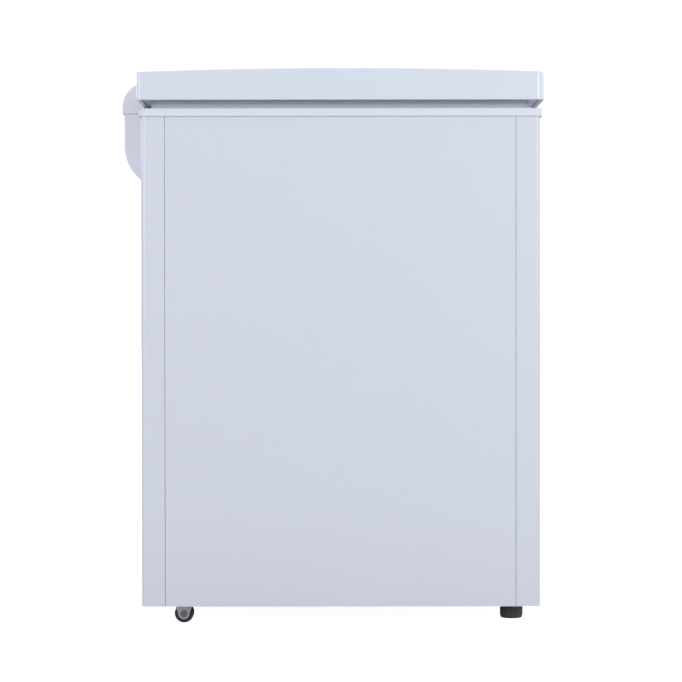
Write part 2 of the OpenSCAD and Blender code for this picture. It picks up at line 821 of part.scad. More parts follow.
module grip_space(out, top) {
    block([-grip_w / 2 - out, front_y - lid_out - 1, lid_z - 1],
        [grip_w / 2 + out, front_y - lid_out + grip_d, lid_z + top]);
}

module lid_shell() {
    color(white) difference() {
        lid_space(0, lid_z);
        lid_space(sheet_t, lid_z + sheet_t);
        tower(lid_hem - lid_out, 6, lid_z - 1, lid_z + 2);
        grip_space(0, grip_h);
        for (side = [-1, 1], p = arm_screw_at)
            rod_y([side * hinge_x + p[0], rear_y + lid_out - 2, p[1]], screw_r, 4);
    }
}

module lid_inner_panel() {
    z0 = lid_z + sheet_t;
    s = sheet_t - lid_out;
    color("#eef0f3") difference() {
        union() {
            tower(s, lid_front_r - sheet_t, z0, z0 + inner_t, lid_rear_r - sheet_t);
            tower(bulge_s, 30, bulge_z, z0 + inner_t);
        }
        tower(bulge_s + inner_t, 28, bulge_z + inner_t, z0 + inner_t + 1);
        grip_space(0, grip_h);
    }
}

module lid_foam() {
    z0 = lid_z + sheet_t + inner_t;
    color("#e8dfb8") difference() {
        union() {
            lid_space(sheet_t, z0);
            tower(bulge_s + inner_t, 28, bulge_z + inner_t, z0 + 1);
        }
        grip_space(0, grip_h);
        for (side = [-1, 1], p = arm_screw_at)
            rod_y([side * hinge_x + p[0], rear_y + lid_out - 12, p[1]], screw_r, 14);
    }
}

module lid_gasket() {
    z0 = collar_z + touch;
    color("#7d8086") union() {
        ring(15, 12, 33, 6, z0 + 7, lid_z + sheet_t);
        ring(13.5, 12, 35, 6, z0, z0 + 7);
    }
}

module lid_handle() {
    x = grip_w / 2 - 0.2;
    y0 = front_y - lid_out;
    y1 = y0 + grip_d - 0.2;
    top = lid_z + grip_h - 0.2;
    color("#d5d9e2") difference() {
        block([-x, y0, lid_z], [x, y1, top]);
        block([-x + 4, y0 + 3, lid_z - 1], [x - 4, y1 - 1.6, top - 2]);
    }
}

// Rollers and feet

module roller_brackets() {
    ear = wheel_w / 2 + 0.6;
    color("#b4b8bd") for (side = [-1, 1]) translate([side * wheel_x, wheel_y, 0]) difference() {
        union() {
            difference() {
                block([-19, -26, pan_z - 2.5], [19, 26, pan_z]);
                block([-ear, -17, pan_z - 4], [ear, 17, pan_z + 1]);
            }
            for (x = [-1, 1]) along_x(x * (ear + 1), 2) {
                translate([0, wheel_r]) circle(9);
                polygon([[-13, pan_z - 2], [-9, wheel_r], [9, wheel_r], [13, pan_z - 2]]);
            }
        }
        rod_x([-30, 0, wheel_r], axle_r, 60);
    }
}

module roller_axles() {
    reach = wheel_w / 2 + 2.6;
    color("#8f9399") for (side = [-1, 1]) translate([side * wheel_x, wheel_y, 0]) {
        rod_x([-reach, 0, wheel_r], axle_r, 2 * reach);
        for (x = [-reach - 1.5, reach]) rod_x([x, 0, wheel_r], axle_r + 2, 1.5);
    }
}

module wheel(side) {
    color(black) translate([side * wheel_x, wheel_y, wheel_r]) difference() {
        rod_x([-wheel_w / 2, 0, 0], wheel_r, wheel_w);
        for (x = [-wheel_w / 2 - 1, wheel_w / 2 - 2]) difference() {
            rod_x([x, 0, 0], wheel_r - 3.5, 3);
            rod_x([x - 1, 0, 0], axle_r + 2.5, 5);
        }
        rod_x([-wheel_w, 0, 0], axle_r + run_fit, 2 * wheel_w);
    }
}

module left_wheel() { wheel(-1); }
module right_wheel() { wheel(1); }

module foot_nut_plates() {
    z0 = pan_z + sheet_t;
    color(steel) for (side = [-1, 1]) translate([side * foot_x, foot_y, z0]) difference() {
        translate([-18, -18, 0]) cube([36, 36, 4]);
        translate([0, 0, -1]) cylinder(r = stud_r + run_fit, h = 6);
    }
}

module foot(side) {
    color("#333437") translate([side * foot_x, foot_y, 0]) union() {
        rotate_extrude() {
            square([foot_r - 3, foot_h]);
            polygon([[0, 3], [foot_r - 0.8, 3], [foot_r, foot_h - 2], [foot_r, foot_h], [0, foot_h]]);
            translate([foot_r - 3.8, 3]) circle(3);
        }
        cylinder(r = stud_r, h = 50);
    }
}

module left_foot() { foot(-1); }
module right_foot() { foot(1); }

// Basket, hung on the collar's ledge

basket_x = [machine_x - 84, half_w - wall_t - 8];
basket_half = cab_d / 2 - wall_t - 9;
basket_z = [592, ledge_z + 3];

module basket_space(t, z0, z1) {
    r = 35 - t;
    translate([0, 0, z0]) linear_extrude(z1 - z0)
        round_rect(basket_x[0] + t, crown_y - basket_half + t, basket_x[1] - t,
            crown_y + basket_half - t, r, r);
}

module wire_basket() {
    t = 3;
    color("#e6e8ea") difference() {
        basket_space(0, basket_z[0], basket_z[1]);
        basket_space(t, basket_z[0] + t, basket_z[1] + 1);
    }
}

module basket_grips() {
    mid = (basket_x[0] + basket_x[1]) / 2;
    y0 = basket_half;
    color("#4a6f9e") for (side = [-1, 1]) translate([mid, crown_y, 0]) {
        a = side > 0 ? [y0, y0 + 20] : [-y0 - 20, -y0];
        block([-55, a[0], ledge_z + touch], [55, a[1], ledge_z + 4]);
    }
}

front_panel();
rear_panel();
left_side_panel();
right_side_panel();
base_pan();
machine_bulkhead();
cabinet_foam();
inner_liner();
top_trim_frame();
evaporator_tube();
condenser_tube();
compressor_shell();
compressor_plate();
compressor_grommets();
compressor_bolts();
relay_cover();
compressor_rails();
refrigerant_pipes();
filter_drier();
side_grille();
control_bezel();
thermostat_body();
indicator_lenses();
wiring_harness();
drain_pipe();
drain_outlet();
cord_gland();
left_hinge_bracket();
right_hinge_bracket();
hinge_pins();
left_hinge_spring();
right_hinge_spring();
left_lower_hinge_cover();
right_lower_hinge_cover();
bracket_screws();
roller_brackets();
roller_axles();
foot_nut_plates();
lid_shell();
lid_foam();
lid_inner_panel();
lid_gasket();
lid_handle();
left_hinge_arm();
right_hinge_arm();
left_upper_hinge_cover();
right_upper_hinge_cover();
arm_screws();
left_plunger();
right_plunger();
left_wheel();
right_wheel();
left_foot();
right_foot();
thermostat_knob();
wire_basket();
basket_grips();
drain_plug();
drain_cap();
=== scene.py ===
"""Chest freezer: the visible pieces and finishes around the packed model, with its stage."""

import json
from math import acos, cos, pi, radians, sin, sqrt, tan

import bmesh
import bpy
from bpy.props import FloatProperty, FloatVectorProperty, IntProperty, PointerProperty
from mathutils import Matrix, Vector


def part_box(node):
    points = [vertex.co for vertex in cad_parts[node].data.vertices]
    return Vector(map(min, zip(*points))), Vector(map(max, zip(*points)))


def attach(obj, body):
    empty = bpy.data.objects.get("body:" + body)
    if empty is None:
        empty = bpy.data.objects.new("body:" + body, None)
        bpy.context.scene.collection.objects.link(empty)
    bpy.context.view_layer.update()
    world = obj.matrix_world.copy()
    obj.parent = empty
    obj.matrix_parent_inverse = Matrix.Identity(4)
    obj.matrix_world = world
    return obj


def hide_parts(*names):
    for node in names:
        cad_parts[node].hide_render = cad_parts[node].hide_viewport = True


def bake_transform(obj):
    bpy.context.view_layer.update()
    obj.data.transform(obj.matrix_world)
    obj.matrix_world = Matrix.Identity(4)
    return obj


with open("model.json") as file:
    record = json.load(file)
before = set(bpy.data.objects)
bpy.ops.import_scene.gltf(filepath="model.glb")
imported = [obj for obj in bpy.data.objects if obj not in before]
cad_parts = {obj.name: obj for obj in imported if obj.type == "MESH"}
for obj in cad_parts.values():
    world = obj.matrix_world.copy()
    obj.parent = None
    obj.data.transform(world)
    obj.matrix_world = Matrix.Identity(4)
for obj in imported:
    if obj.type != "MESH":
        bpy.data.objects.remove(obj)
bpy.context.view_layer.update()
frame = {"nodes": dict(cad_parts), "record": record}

bl_info = {
    "name": "Chest freezer",
    "version": (1, 0, 0),
    "blender": (4, 5, 0),
    "location": "3D View > Sidebar > Freezer",
    "description": "Builds a chest freezer's visible pieces, finishes and stage around its packed model",
    "category": "Object",
}

MM = 0.001
SHEET = 1 * MM
HEM = 12 * MM
FOLD = 8 * MM
# how far a cutter reaches past what it cuts
THROUGH = 10 * MM
LEFT, RIGHT = -1, 1

# Main faces, from the packed parts
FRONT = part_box("front_panel")[0].y
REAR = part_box("rear_panel")[1].y
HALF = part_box("left_side_panel")[0].x * -1
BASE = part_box("left_side_panel")[0].z
PANEL_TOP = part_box("left_side_panel")[1].z
LID_LOW, LID_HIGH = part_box("lid_shell")
LID_OUT = FRONT - LID_LOW.y
MIDDLE_Y = (FRONT + REAR) / 2
HINGE_X = sum(c.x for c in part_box("right_plunger")) / 2


# ---------------------------------------------------------------- mesh helpers

def new_object(name, verts, faces):
    """A mesh object with doubles merged and faces pointing outwards."""
    mesh = bpy.data.meshes.new(name)
    mesh.from_pydata([tuple(v) for v in verts], [], faces)
    obj = bpy.data.objects.new(name, mesh)
    bpy.context.scene.collection.objects.link(obj)
    return cleaned(obj)


def cleaned(obj, merge=1e-6):
    """Merges doubles, drops faces without area and turns the rest outwards."""
    bm = bmesh.new()
    bm.from_mesh(obj.data)
    bmesh.ops.remove_doubles(bm, verts=bm.verts, dist=merge)
    bmesh.ops.dissolve_degenerate(bm, dist=merge, edges=bm.edges)
    bmesh.ops.recalc_face_normals(bm, faces=bm.faces)
    bm.to_mesh(obj.data)
    bm.free()
    return obj


def settled(obj):
    """Turns the live modifiers into a plain mesh."""
    graph = bpy.context.evaluated_depsgraph_get()
    graph.update()
    mesh = bpy.data.meshes.new_from_object(
        obj.evaluated_get(graph), preserve_all_data_layers=True, depsgraph=graph)
    obj.modifiers.clear()
    old = obj.data
    obj.data = mesh
    mesh.name = obj.name
    bpy.data.meshes.remove(old)
    return obj


def smooth(obj, angle=35):
    """Smooth shading that stays flat on the large faces and keeps edges over the angle sharp."""
    obj.data.shade_smooth()
    obj.data.set_sharp_from_angle(angle=radians(angle))
    weighted = obj.modifiers.new("normals", "WEIGHTED_NORMAL")
    weighted.keep_sharp = True
    weighted.weight = 100
    return settled(obj)


def rounded_edges(obj, width, segments=3, angle=32):
    """Rounds every edge over the angle."""
    obj.data.shade_smooth()
    bevel = obj.modifiers.new("edges", "BEVEL")
    bevel.width = width
    bevel.segments = segments
    bevel.limit_method = "ANGLE"
    bevel.angle_limit = radians(angle)
    bevel.use_clamp_overlap = True
    weighted = obj.modifiers.new("normals", "WEIGHTED_NORMAL")
    weighted.weight = 100
    return settled(obj)


def thickened(obj, thickness):
    """Gives a shell its wall, inwards from its outer face."""
    wall = obj.modifiers.new("wall", "SOLIDIFY")
    wall.thickness = thickness
    wall.offset = -1
    wall.use_even_offset = True
    return settled(obj)


def cut(obj, *cutters):
    """Takes the cutters out of obj and removes them."""
    for cutter in cutters:
        tool = obj.modifiers.new("cut", "BOOLEAN")
        tool.operation = "DIFFERENCE"
        tool.solver = "EXACT"
        tool.object = cutter
        settled(obj)
        mesh = cutter.data
        bpy.data.objects.remove(cutter)
        bpy.data.meshes.remove(mesh)
    return obj


def joined(name, *objs):
    """One object from several plain ones."""
    bm = bmesh.new()
    for o in objs:
        bm.from_mesh(o.data)
    mesh = bpy.data.meshes.new(name)
    bm.to_mesh(mesh)
    bm.free()
    for o in objs:
        old = o.data
        bpy.data.objects.remove(o)
        bpy.data.meshes.remove(old)
    obj = bpy.data.objects.new(name, mesh)
    bpy.context.scene.collection.objects.link(obj)
    return obj


def cad_copy(name, node):
    """A merged copy of a packed part, with its flat faces whole."""
    mesh = frame["nodes"][node].data.copy()
    mesh.name = name
    mesh.materials.clear()
    obj = bpy.data.objects.new(name, mesh)
    bpy.context.scene.collection.objects.link(obj)
    bm = bmesh.new()
    bm.from_mesh(mesh)
    bmesh.ops.remove_doubles(bm, verts=bm.verts, dist=2e-6)
    bmesh.ops.dissolve_limit(
        bm, angle_limit=radians(0.4), verts=bm.verts, edges=bm.edges, use_dissolve_boundaries=False)
    bmesh.ops.recalc_face_normals(bm, faces=bm.faces)
    bm.to_mesh(mesh)
    bm.free()
    for layer in ("custom_normal", "sharp_edge", "sharp_face"):
        if layer in mesh.attributes:
            mesh.attributes.remove(mesh.attributes[layer])
    return obj


def block(name, low, high):
    """A plain box, for cutting or for rounding afterwards."""
    (a, b, c), (d, e, f) = low, high
    verts = [(x, y, z) for x in (a, d) for y in (b, e) for z in (c, f)]
    faces = [(0, 1, 3, 2), (4, 6, 7, 5), (0, 4, 5, 1), (2, 3, 7, 6), (0, 2, 6, 4), (1, 5, 7, 3)]
    return new_object(name, verts, faces)


def loop(x0, y0, x1, y1, rf, rr, z, corner=8, across=1, along=1):
    """One level of a rounded box, anticlockwise from its front left corner.
    rf and rr are its front and rear corner radii, and z is a height or a function of x and y."""
    height = z if callable(z) else (lambda x, y: z)
    places = (
        (x0 + rf, y0 + rf, rf, 180, across),
        (x1 - rf, y0 + rf, rf, 270, along),
        (x1 - rr, y1 - rr, rr, 0, across),
        (x0 + rr, y1 - rr, rr, 90, along),
    )
    flat = []
    for i, (cx, cy, r, start, steps) in enumerate(places):
        for k in range(corner + 1):
            a = radians(start + 90 * k / corner)
            flat.append((cx + r * cos(a), cy + r * sin(a)))
        nx, ny, nr, turn, _ = places[(i + 1) % 4]
        a = radians(turn)
        end = (nx + nr * cos(a), ny + nr * sin(a))
        begin = flat[-1]
        for k in range(1, steps):
            flat.append(tuple(begin[j] + (end[j] - begin[j]) * k / steps for j in (0, 1)))
    return [(x, y, height(x, y)) for x, y in flat]


def around(s, r, z, rr=None, **more):
    """A level of the cabinet's own outline, inset by s."""
    return loop(-HALF + s, FRONT + s, HALF - s, REAR - s, r, r if rr is None else rr, z, **more)


def loft(name, levels, closed=False, caps=(False, False)):
    """A skin through levels of equal length. closed joins the last level to the first."""
    n = len(levels[0])
    verts = [p for level in levels for p in level]
    pairs = len(levels) if closed else len(levels) - 1
    faces = []
    for i in range(pairs):
        a, b = i * n, (i + 1) % len(levels) * n
        faces += [(a + k, a + (k + 1) % n, b + (k + 1) % n, b + k) for k in range(n)]
    if caps[0]:
        faces.append(tuple(range(n)))
    if caps[1]:
        faces.append(tuple(range(len(verts) - n, len(verts))))
    return new_object(name, verts, faces)


def filleted(section, steps=4, closed=True):
    """A section's points with rounded corners. Each is a vector whose last value is the fillet radius
    and whose first two values are measured for it; the others are carried along."""
    done = []
    count = len(section)
    for i, point in enumerate(section):
        p, radius = Vector(point[:-1]), point[-1]
        if not radius or (not closed and i in (0, count - 1)):
            done.append(p)
            continue
        before = Vector(section[i - 1][:-1]) - p
        after = Vector(section[(i + 1) % count][:-1]) - p
        flat_b, flat_a = (v.to_2d() if len(v) > 2 else v for v in (before, after))
        angle = acos(max(-1, min(1, flat_b.dot(flat_a) / (flat_b.length * flat_a.length))))
        reach = radius / tan(angle / 2)
        a, b = p + before * (reach / flat_b.length), p + after * (reach / flat_a.length)
        weight = sin(angle / 2)
        for k in range(steps + 1):
            t = k / steps
            w = ((1 - t) ** 2, 2 * t * (1 - t) * weight, t * t)
            done.append((a * w[0] + p * w[1] + b * w[2]) / sum(w))
    return done


def strip(centre, thickness):
    """The closed outline of a bent sheet, from the open line along its middle."""
    sides = ([], [])
    for i, p in enumerate(centre):
        a = (p - centre[i - 1]).normalized() if i else None
        b = (centre[i + 1] - p).normalized() if i < len(centre) - 1 else None
        direction = ((a or b) + (b or a)).normalized()
        normal = Vector((-direction.y, direction.x))
        across = thickness / 2 / max(0.3, normal.dot(Vector((-(b or a).y, (b or a).x))))
        sides[0].append(p + normal * across)
        sides[1].append(p - normal * across)
    return sides[0] + sides[1][::-1]


def prism(name, outline, z0, z1):
    """A closed outline in X and Y between two heights."""
    n = len(outline)
    verts = [(p[0], p[1], z) for z in (z0, z1) for p in outline]
    faces = [(k, (k + 1) % n, n + (k + 1) % n, n + k) for k in range(n)]
    return new_object(name, verts, faces + [tuple(range(n)), tuple(range(n, 2 * n))])


def turned(name, profile, centre, axis, steps=48, wave=None):
    """A profile of (radius, distance) turned about an axis through centre. wave changes the
    radius from the turn and the place along the axis. Closed profiles end where they start."""
    axis = Vector(axis).normalized()
    side = axis.orthogonal().normalized()
    other = axis.cross(side)
    centre = Vector(centre)
    verts = []
    for k in range(steps):
        a = 2 * pi * k / steps
        out = side * cos(a) + other * sin(a)
        for r, h in profile:
            verts.append(centre + out * (wave(r, h, a) if wave else r) + axis * h)
    n = len(profile)
    faces = []
    for k in range(steps):
        a, b = k * n, (k + 1) % steps * n
        faces += [(a + i, b + i, b + i + 1, a + i + 1) for i in range(n - 1)]
    return new_object(name, verts, faces)


def tube(name, path, radius, sides=10):
    """A round wire or pipe along a path, with closed ends."""
    verts, faces, n = [], [], len(path)
    across = None
    for i, p in enumerate(path):
        direction = (path[min(i + 1, n - 1)] - path[max(i - 1, 0)]).normalized()
        if across is None:
            across = direction.orthogonal().normalized()
        across = (across - direction * across.dot(direction)).normalized()
        other = direction.cross(across)
        for k in range(sides):
            a = 2 * pi * k / sides
            verts.append(p + (across * cos(a) + other * sin(a)) * radius)
    for i in range(n - 1):
        for k in range(sides):
            j = (k + 1) % sides
            faces.append((i * sides + k, i * sides + j, (i + 1) * sides + j, (i + 1) * sides + k))
    faces += [tuple(range(sides)), tuple(range((n - 1) * sides, n * sides))]
    return new_object(name, verts, faces)


def fitted(obj, body, slot, *nodes):
    """Gives a finished piece its material, its body and the parts it stands for."""
    obj.data.materials.clear()
    obj.data.materials.append(finish(slot))
    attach(obj, body)
    if nodes:
        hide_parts(*nodes)
    return obj


def softened(node, body, width, segments=2, angle=32):
    """A packed part with its edges rounded."""
    obj = rounded_edges(cad_copy(node + "_piece", node), width, segments, angle)
    return fitted(obj, body, SLOT_OF[node], node)


# ---------------------------------------------------------------- node helpers

def nodes_of(tree):
    """Short ways to add a node and to link two sockets."""
    def add(kind, **values):
        node = tree.nodes.new(kind)
        for key, value in values.items():
            setattr(node, key, value)
        return node

    def link(source, target):
        tree.links.new(source, target)

    return add, link


def math_node(add, link, operation, a, b):
    """A Math node on two numbers or sockets. Gives its output."""
    node = add("ShaderNodeMath", operation=operation)
    for i, value in enumerate((a, b)):
        if isinstance(value, (int, float)):
            node.inputs[i].default_value = value
        else:
            link(value, node.inputs[i])
    return node.outputs[0]


def group_sockets(tree, inputs, outputs):
    """Makes a node group's named inputs (name: default) and outputs (name: socket type)."""
    for name, value in inputs.items():
        kind = "NodeSocketColor" if isinstance(value, tuple) else "NodeSocketFloat"
        tree.interface.new_socket(name, in_out="INPUT", socket_type=kind).default_value = value
    for name, kind in outputs.items():
        tree.interface.new_socket(name, in_out="OUTPUT", socket_type=kind)


def grained_surface():
    """A fine relief over the whole surface, with a broader one under it."""
    tree = bpy.data.node_groups.new("grained_surface", "ShaderNodeTree")
    group_sockets(tree, {"Grain scale": 900.0, "Grain depth": 0.02,
                         "Wave scale": 9.0, "Wave depth": 0.0},
                  {"Normal": "NodeSocketVector", "Grain": "NodeSocketFloat"})
    add, link = nodes_of(tree)
    given, result = add("NodeGroupInput"), add("NodeGroupOutput")
    place = add("ShaderNodeTexCoord")
    fine = add("ShaderNodeTexNoise", noise_dimensions="3D")
    fine.inputs["Detail"].default_value = 2.0
    broad = add("ShaderNodeTexNoise", noise_dimensions="3D")
    broad.inputs["Detail"].default_value = 1.0
    for noise, scale in ((fine, "Grain scale"), (broad, "Wave scale")):
        link(place.outputs["Object"], noise.inputs["Vector"])
        link(given.outputs[scale], noise.inputs["Scale"])
    low = math_node(add, link, "MULTIPLY", broad.outputs["Fac"], given.outputs["Wave depth"])
    high = math_node(add, link, "MULTIPLY", fine.outputs["Fac"], given.outputs["Grain depth"])
    bump = add("ShaderNodeBump")
    bump.inputs["Strength"].default_value = 1.0
    bump.inputs["Distance"].default_value = MM
    link(math_node(add, link, "ADD", low, high), bump.inputs["Height"])
    link(bump.outputs["Normal"], result.inputs["Normal"])
    link(fine.outputs["Fac"], result.inputs["Grain"])
    return tree


def uneven_tone():
    """Slow changes of tone, a little dust low down and a matching change of gloss."""
    tree = bpy.data.node_groups.new("uneven_tone", "ShaderNodeTree")
    group_sockets(tree, {"Colour": (0.8, 0.8, 0.8, 1), "Second colour": (0.7, 0.7, 0.7, 1), "Scale": 5.0,
                         "Amount": 0.1, "Dust": 0.0, "Gloss": 0.3, "Gloss change": 0.05},
                  {"Colour": "NodeSocketColor", "Roughness": "NodeSocketFloat"})
    add, link = nodes_of(tree)
    given, result = add("NodeGroupInput"), add("NodeGroupOutput")
    place = add("ShaderNodeTexCoord")
    noise = add("ShaderNodeTexNoise", noise_dimensions="3D")
    noise.inputs["Detail"].default_value = 4.0
    link(place.outputs["Object"], noise.inputs["Vector"])
    link(given.outputs["Scale"], noise.inputs["Scale"])
    tone = add("ShaderNodeMix", data_type="RGBA")
    share = math_node(add, link, "MULTIPLY", noise.outputs["Fac"], given.outputs["Amount"])
    link(share, tone.inputs["Factor"])
    link(given.outputs["Colour"], tone.inputs["A"])
    link(given.outputs["Second colour"], tone.inputs["B"])
    split = add("ShaderNodeSeparateXYZ")
    link(place.outputs["Object"], split.inputs["Vector"])
    low = add("ShaderNodeMapRange", interpolation_type="SMOOTHSTEP")
    for name, value in (("From Min", 0.22), ("From Max", 0.0), ("To Min", 0.0), ("To Max", 1.0)):
        low.inputs[name].default_value = value
    link(split.outputs["Z"], low.inputs["Value"])
    speck = math_node(add, link, "MULTIPLY", low.outputs["Result"], noise.outputs["Fac"])
    dusty = add("ShaderNodeMix", data_type="RGBA")
    link(math_node(add, link, "MULTIPLY", speck, given.outputs["Dust"]), dusty.inputs["Factor"])
    link(tone.outputs["Result"], dusty.inputs["A"])
    dusty.inputs["B"].default_value = (0.45, 0.42, 0.38, 1)
    link(dusty.outputs["Result"], result.inputs["Colour"])
    change = math_node(add, link, "MULTIPLY", noise.outputs["Fac"], given.outputs["Gloss change"])
    link(math_node(add, link, "ADD", given.outputs["Gloss"], change), result.inputs["Roughness"])
    return tree


def crystal_flakes():
    """The flake pattern of hot-dip zinc, or the dimples of embossed sheet, as a mask and a tone."""
    tree = bpy.data.node_groups.new("crystal_flakes", "ShaderNodeTree")
    group_sockets(tree, {"Size": 120.0, "Contrast": 0.3},
                  {"Tone": "NodeSocketFloat", "Edge": "NodeSocketFloat"})
    add, link = nodes_of(tree)
    given, result = add("NodeGroupInput"), add("NodeGroupOutput")
    place = add("ShaderNodeTexCoord")
    cells = add("ShaderNodeTexVoronoi", feature="F1")
    link(place.outputs["Object"], cells.inputs["Vector"])
    link(given.outputs["Size"], cells.inputs["Scale"])
    grey = add("ShaderNodeSeparateColor")
    link(cells.outputs["Color"], grey.inputs["Color"])
    tone = math_node(add, link, "MULTIPLY", grey.outputs["Red"], given.outputs["Contrast"])
    link(tone, result.inputs["Tone"])
    link(cells.outputs["Distance"], result.inputs["Edge"])
    return tree


def brushed_lines():
    """Fine drawn lines along one axis."""
    tree = bpy.data.node_groups.new("brushed_lines", "ShaderNodeTree")
    group_sockets(tree, {"Across": 900.0, "Along": 14.0, "Depth": 0.01},
                  {"Normal": "NodeSocketVector", "Line": "NodeSocketFloat"})
    add, link = nodes_of(tree)
    given, result = add("NodeGroupInput"), add("NodeGroupOutput")
    place = add("ShaderNodeTexCoord")
    size = add("ShaderNodeCombineXYZ")
    link(given.outputs["Along"], size.inputs["X"])
    link(given.outputs["Across"], size.inputs["Y"])
    link(given.outputs["Across"], size.inputs["Z"])
    scaled = add("ShaderNodeVectorMath", operation="MULTIPLY")
    link(place.outputs["Object"], scaled.inputs[0])
    link(size.outputs["Vector"], scaled.inputs[1])
    noise = add("ShaderNodeTexNoise", noise_dimensions="3D")
    noise.inputs["Scale"].default_value = 1.0
    noise.inputs["Detail"].default_value = 2.0
    link(scaled.outputs["Vector"], noise.inputs["Vector"])
    bump = add("ShaderNodeBump")
    bump.inputs["Distance"].default_value = MM
    height = math_node(add, link, "MULTIPLY", noise.outputs["Fac"], given.outputs["Depth"])
    link(height, bump.inputs["Height"])
    link(bump.outputs["Normal"], result.inputs["Normal"])
    link(noise.outputs["Fac"], result.inputs["Line"])
    return tree


TREES = {}


def built(maker):
    """A shared node tree, made the first time it is asked for."""
    if maker not in TREES:
        TREES[maker] = maker()
    return TREES[maker]


def placed(add, maker, values):
    """A shared effect in a material, with that material's own values."""
    node = add("ShaderNodeGroup", node_tree=built(maker))
    for key, value in values.items():
        node.inputs[key].default_value = value
    return node


# ---------------------------------------------------------------- finishes

def rgba(colour):
    """A colour with full alpha."""
    return (*colour, 1.0)


def shaded(colour, factor):
    """A colour made darker or lighter."""
    return tuple(c * factor for c in colour)


# By slot: roughness, scale and depth of the relief, waviness, coat, dust and tint
FINISHES = {
    "cabinet_white": dict(rough=0.34, scale=420.0, depth=0.012, wave=0.10, coat=0.35, dust=0.10,
                          tint=(1.005, 0.995, 1.015)),
    "lid_white": dict(rough=0.32, scale=420.0, depth=0.012, wave=0.08, coat=0.35,
                      tint=(1.02, 1.03, 1.06)),
    "collar_plastic": dict(rough=0.42, scale=1500.0, depth=0.012, tint=(1.07, 1.05, 1.08)),
    # cover_plastic's tint lifts it above its own colour: painted light that makes up for the shade on the
    # hinge covers' cheeks, and it carries over to the grille slats
    "cover_plastic": dict(rough=0.48, scale=1300.0, depth=0.025, tint=(1.18, 1.11, 1.12)),
    "inner_white": dict(rough=0.38, scale=1300.0, depth=0.012, wave=0.35),
    "bezel_plastic": dict(rough=0.42, scale=1500.0, depth=0.016),
    "knob_plastic": dict(rough=0.26, scale=1500.0, depth=0.006, coat=0.4),
    "switch_plastic": dict(rough=0.55, scale=1100.0, depth=0.03),
    "drain_plastic": dict(rough=0.44, scale=1200.0, depth=0.02),
    "plunger_nylon": dict(rough=0.40, scale=1000.0, depth=0.015, subsurface=0.15),
    "basket_wire": dict(rough=0.30, scale=700.0, depth=0.02, coat=0.4),
    "grip_plastic": dict(rough=0.40, scale=1100.0, depth=0.03),
    "black_plastic": dict(rough=0.58, scale=1100.0, depth=0.04),
    "black_enamel": dict(rough=0.30, scale=260.0, depth=0.05, coat=0.5, dust=0.3),
    "black_rubber": dict(rough=0.75, scale=800.0, depth=0.05, dust=0.2),
    "roller_black": dict(rough=0.62, scale=900.0, depth=0.05, dust=0.12),
    "foot_charcoal": dict(rough=0.60, scale=900.0, depth=0.05, dust=0.25, tint=(1.2, 1.2, 1.2)),
    "gasket_grey": dict(rough=0.62, scale=1000.0, depth=0.03, tint=(1.6, 1.62, 1.7)),
    "drain_rubber": dict(rough=0.70, scale=900.0, depth=0.04),
    "rigid_foam": dict(rough=0.90, scale=520.0, depth=0.45, wave=1.2),
}
# By slot: roughness, size and contrast of the flakes, depth of drawn lines, tint
METALS = {
    "galvanised_steel": dict(rough=0.42, flakes=95.0, contrast=0.30),
    "zinc_plated_steel": dict(rough=0.38, flakes=420.0, contrast=0.10, brushed=0.006, tint=0.84),
    # stud_steel's tint makes it nearly black, so the roller axle heads show as a dark spot: partly a
    # blackened finish, partly painted shade; the hinge pins share it
    "stud_steel": dict(rough=0.34, flakes=600.0, contrast=0.06, brushed=0.012, tint=0.42),
    "spring_steel": dict(rough=0.32, flakes=500.0, contrast=0.08, brushed=0.015),
    "copper_tube": dict(rough=0.28, flakes=60.0, contrast=0.22, brushed=0.008),
    "evaporator_aluminium": dict(rough=0.40, flakes=80.0, contrast=0.14, brushed=0.010),
}
SLOT_OF = {s["node"]: s["material_slot"] for s in frame["record"]["subparts"]}
COLOUR_OF = {m["slot"]: tuple(m["base_color"]) for m in frame["record"]["materials"]}
MATERIALS = {}


def start_material(slot):
    """A slot's material with its shader, and the short ways to add to it."""
    material = bpy.data.materials.new(slot + "_finish")
    material.use_nodes = True
    tree = material.node_tree
    tree.nodes.clear()
    add, link = nodes_of(tree)
    shader = add("ShaderNodeBsdfPrincipled")
    output = add("ShaderNodeOutputMaterial")
    link(shader.outputs["BSDF"], output.inputs["Surface"])
    return material, add, link, shader


def coated_finish(slot, rough, scale, depth, wave=0.0, coat=0.0, dust=0.0, subsurface=0.0,
                  tint=(1, 1, 1)):
    """Paint, plastic, rubber or foam. Dark ones vary more in tone than white ones."""
    material, add, link, shader = start_material(slot)
    colour = tuple(c * t for c, t in zip(COLOUR_OF[slot], tint))
    variation = 0.12 if colour[0] > 0.5 else 0.5
    gloss_change = 0.06
    tone = placed(add, uneven_tone, {
        "Colour": rgba(colour), "Second colour": rgba(shaded(colour, 0.90)), "Scale": 4.0,
        "Amount": variation, "Dust": dust, "Gloss": rough - gloss_change / 3,
        "Gloss change": gloss_change})
    grain = placed(add, grained_surface, {
        "Grain scale": scale, "Grain depth": depth, "Wave scale": 7.0, "Wave depth": wave})
    link(tone.outputs["Colour"], shader.inputs["Base Color"])
    link(tone.outputs["Roughness"], shader.inputs["Roughness"])
    link(grain.outputs["Normal"], shader.inputs["Normal"])
    shader.inputs["IOR"].default_value = 1.48
    shader.inputs["Coat Weight"].default_value = coat
    shader.inputs["Coat Roughness"].default_value = 0.18
    if subsurface:
        shader.inputs["Subsurface Weight"].default_value = subsurface
        shader.inputs["Subsurface Radius"].default_value = (0.002, 0.002, 0.002)
    return material


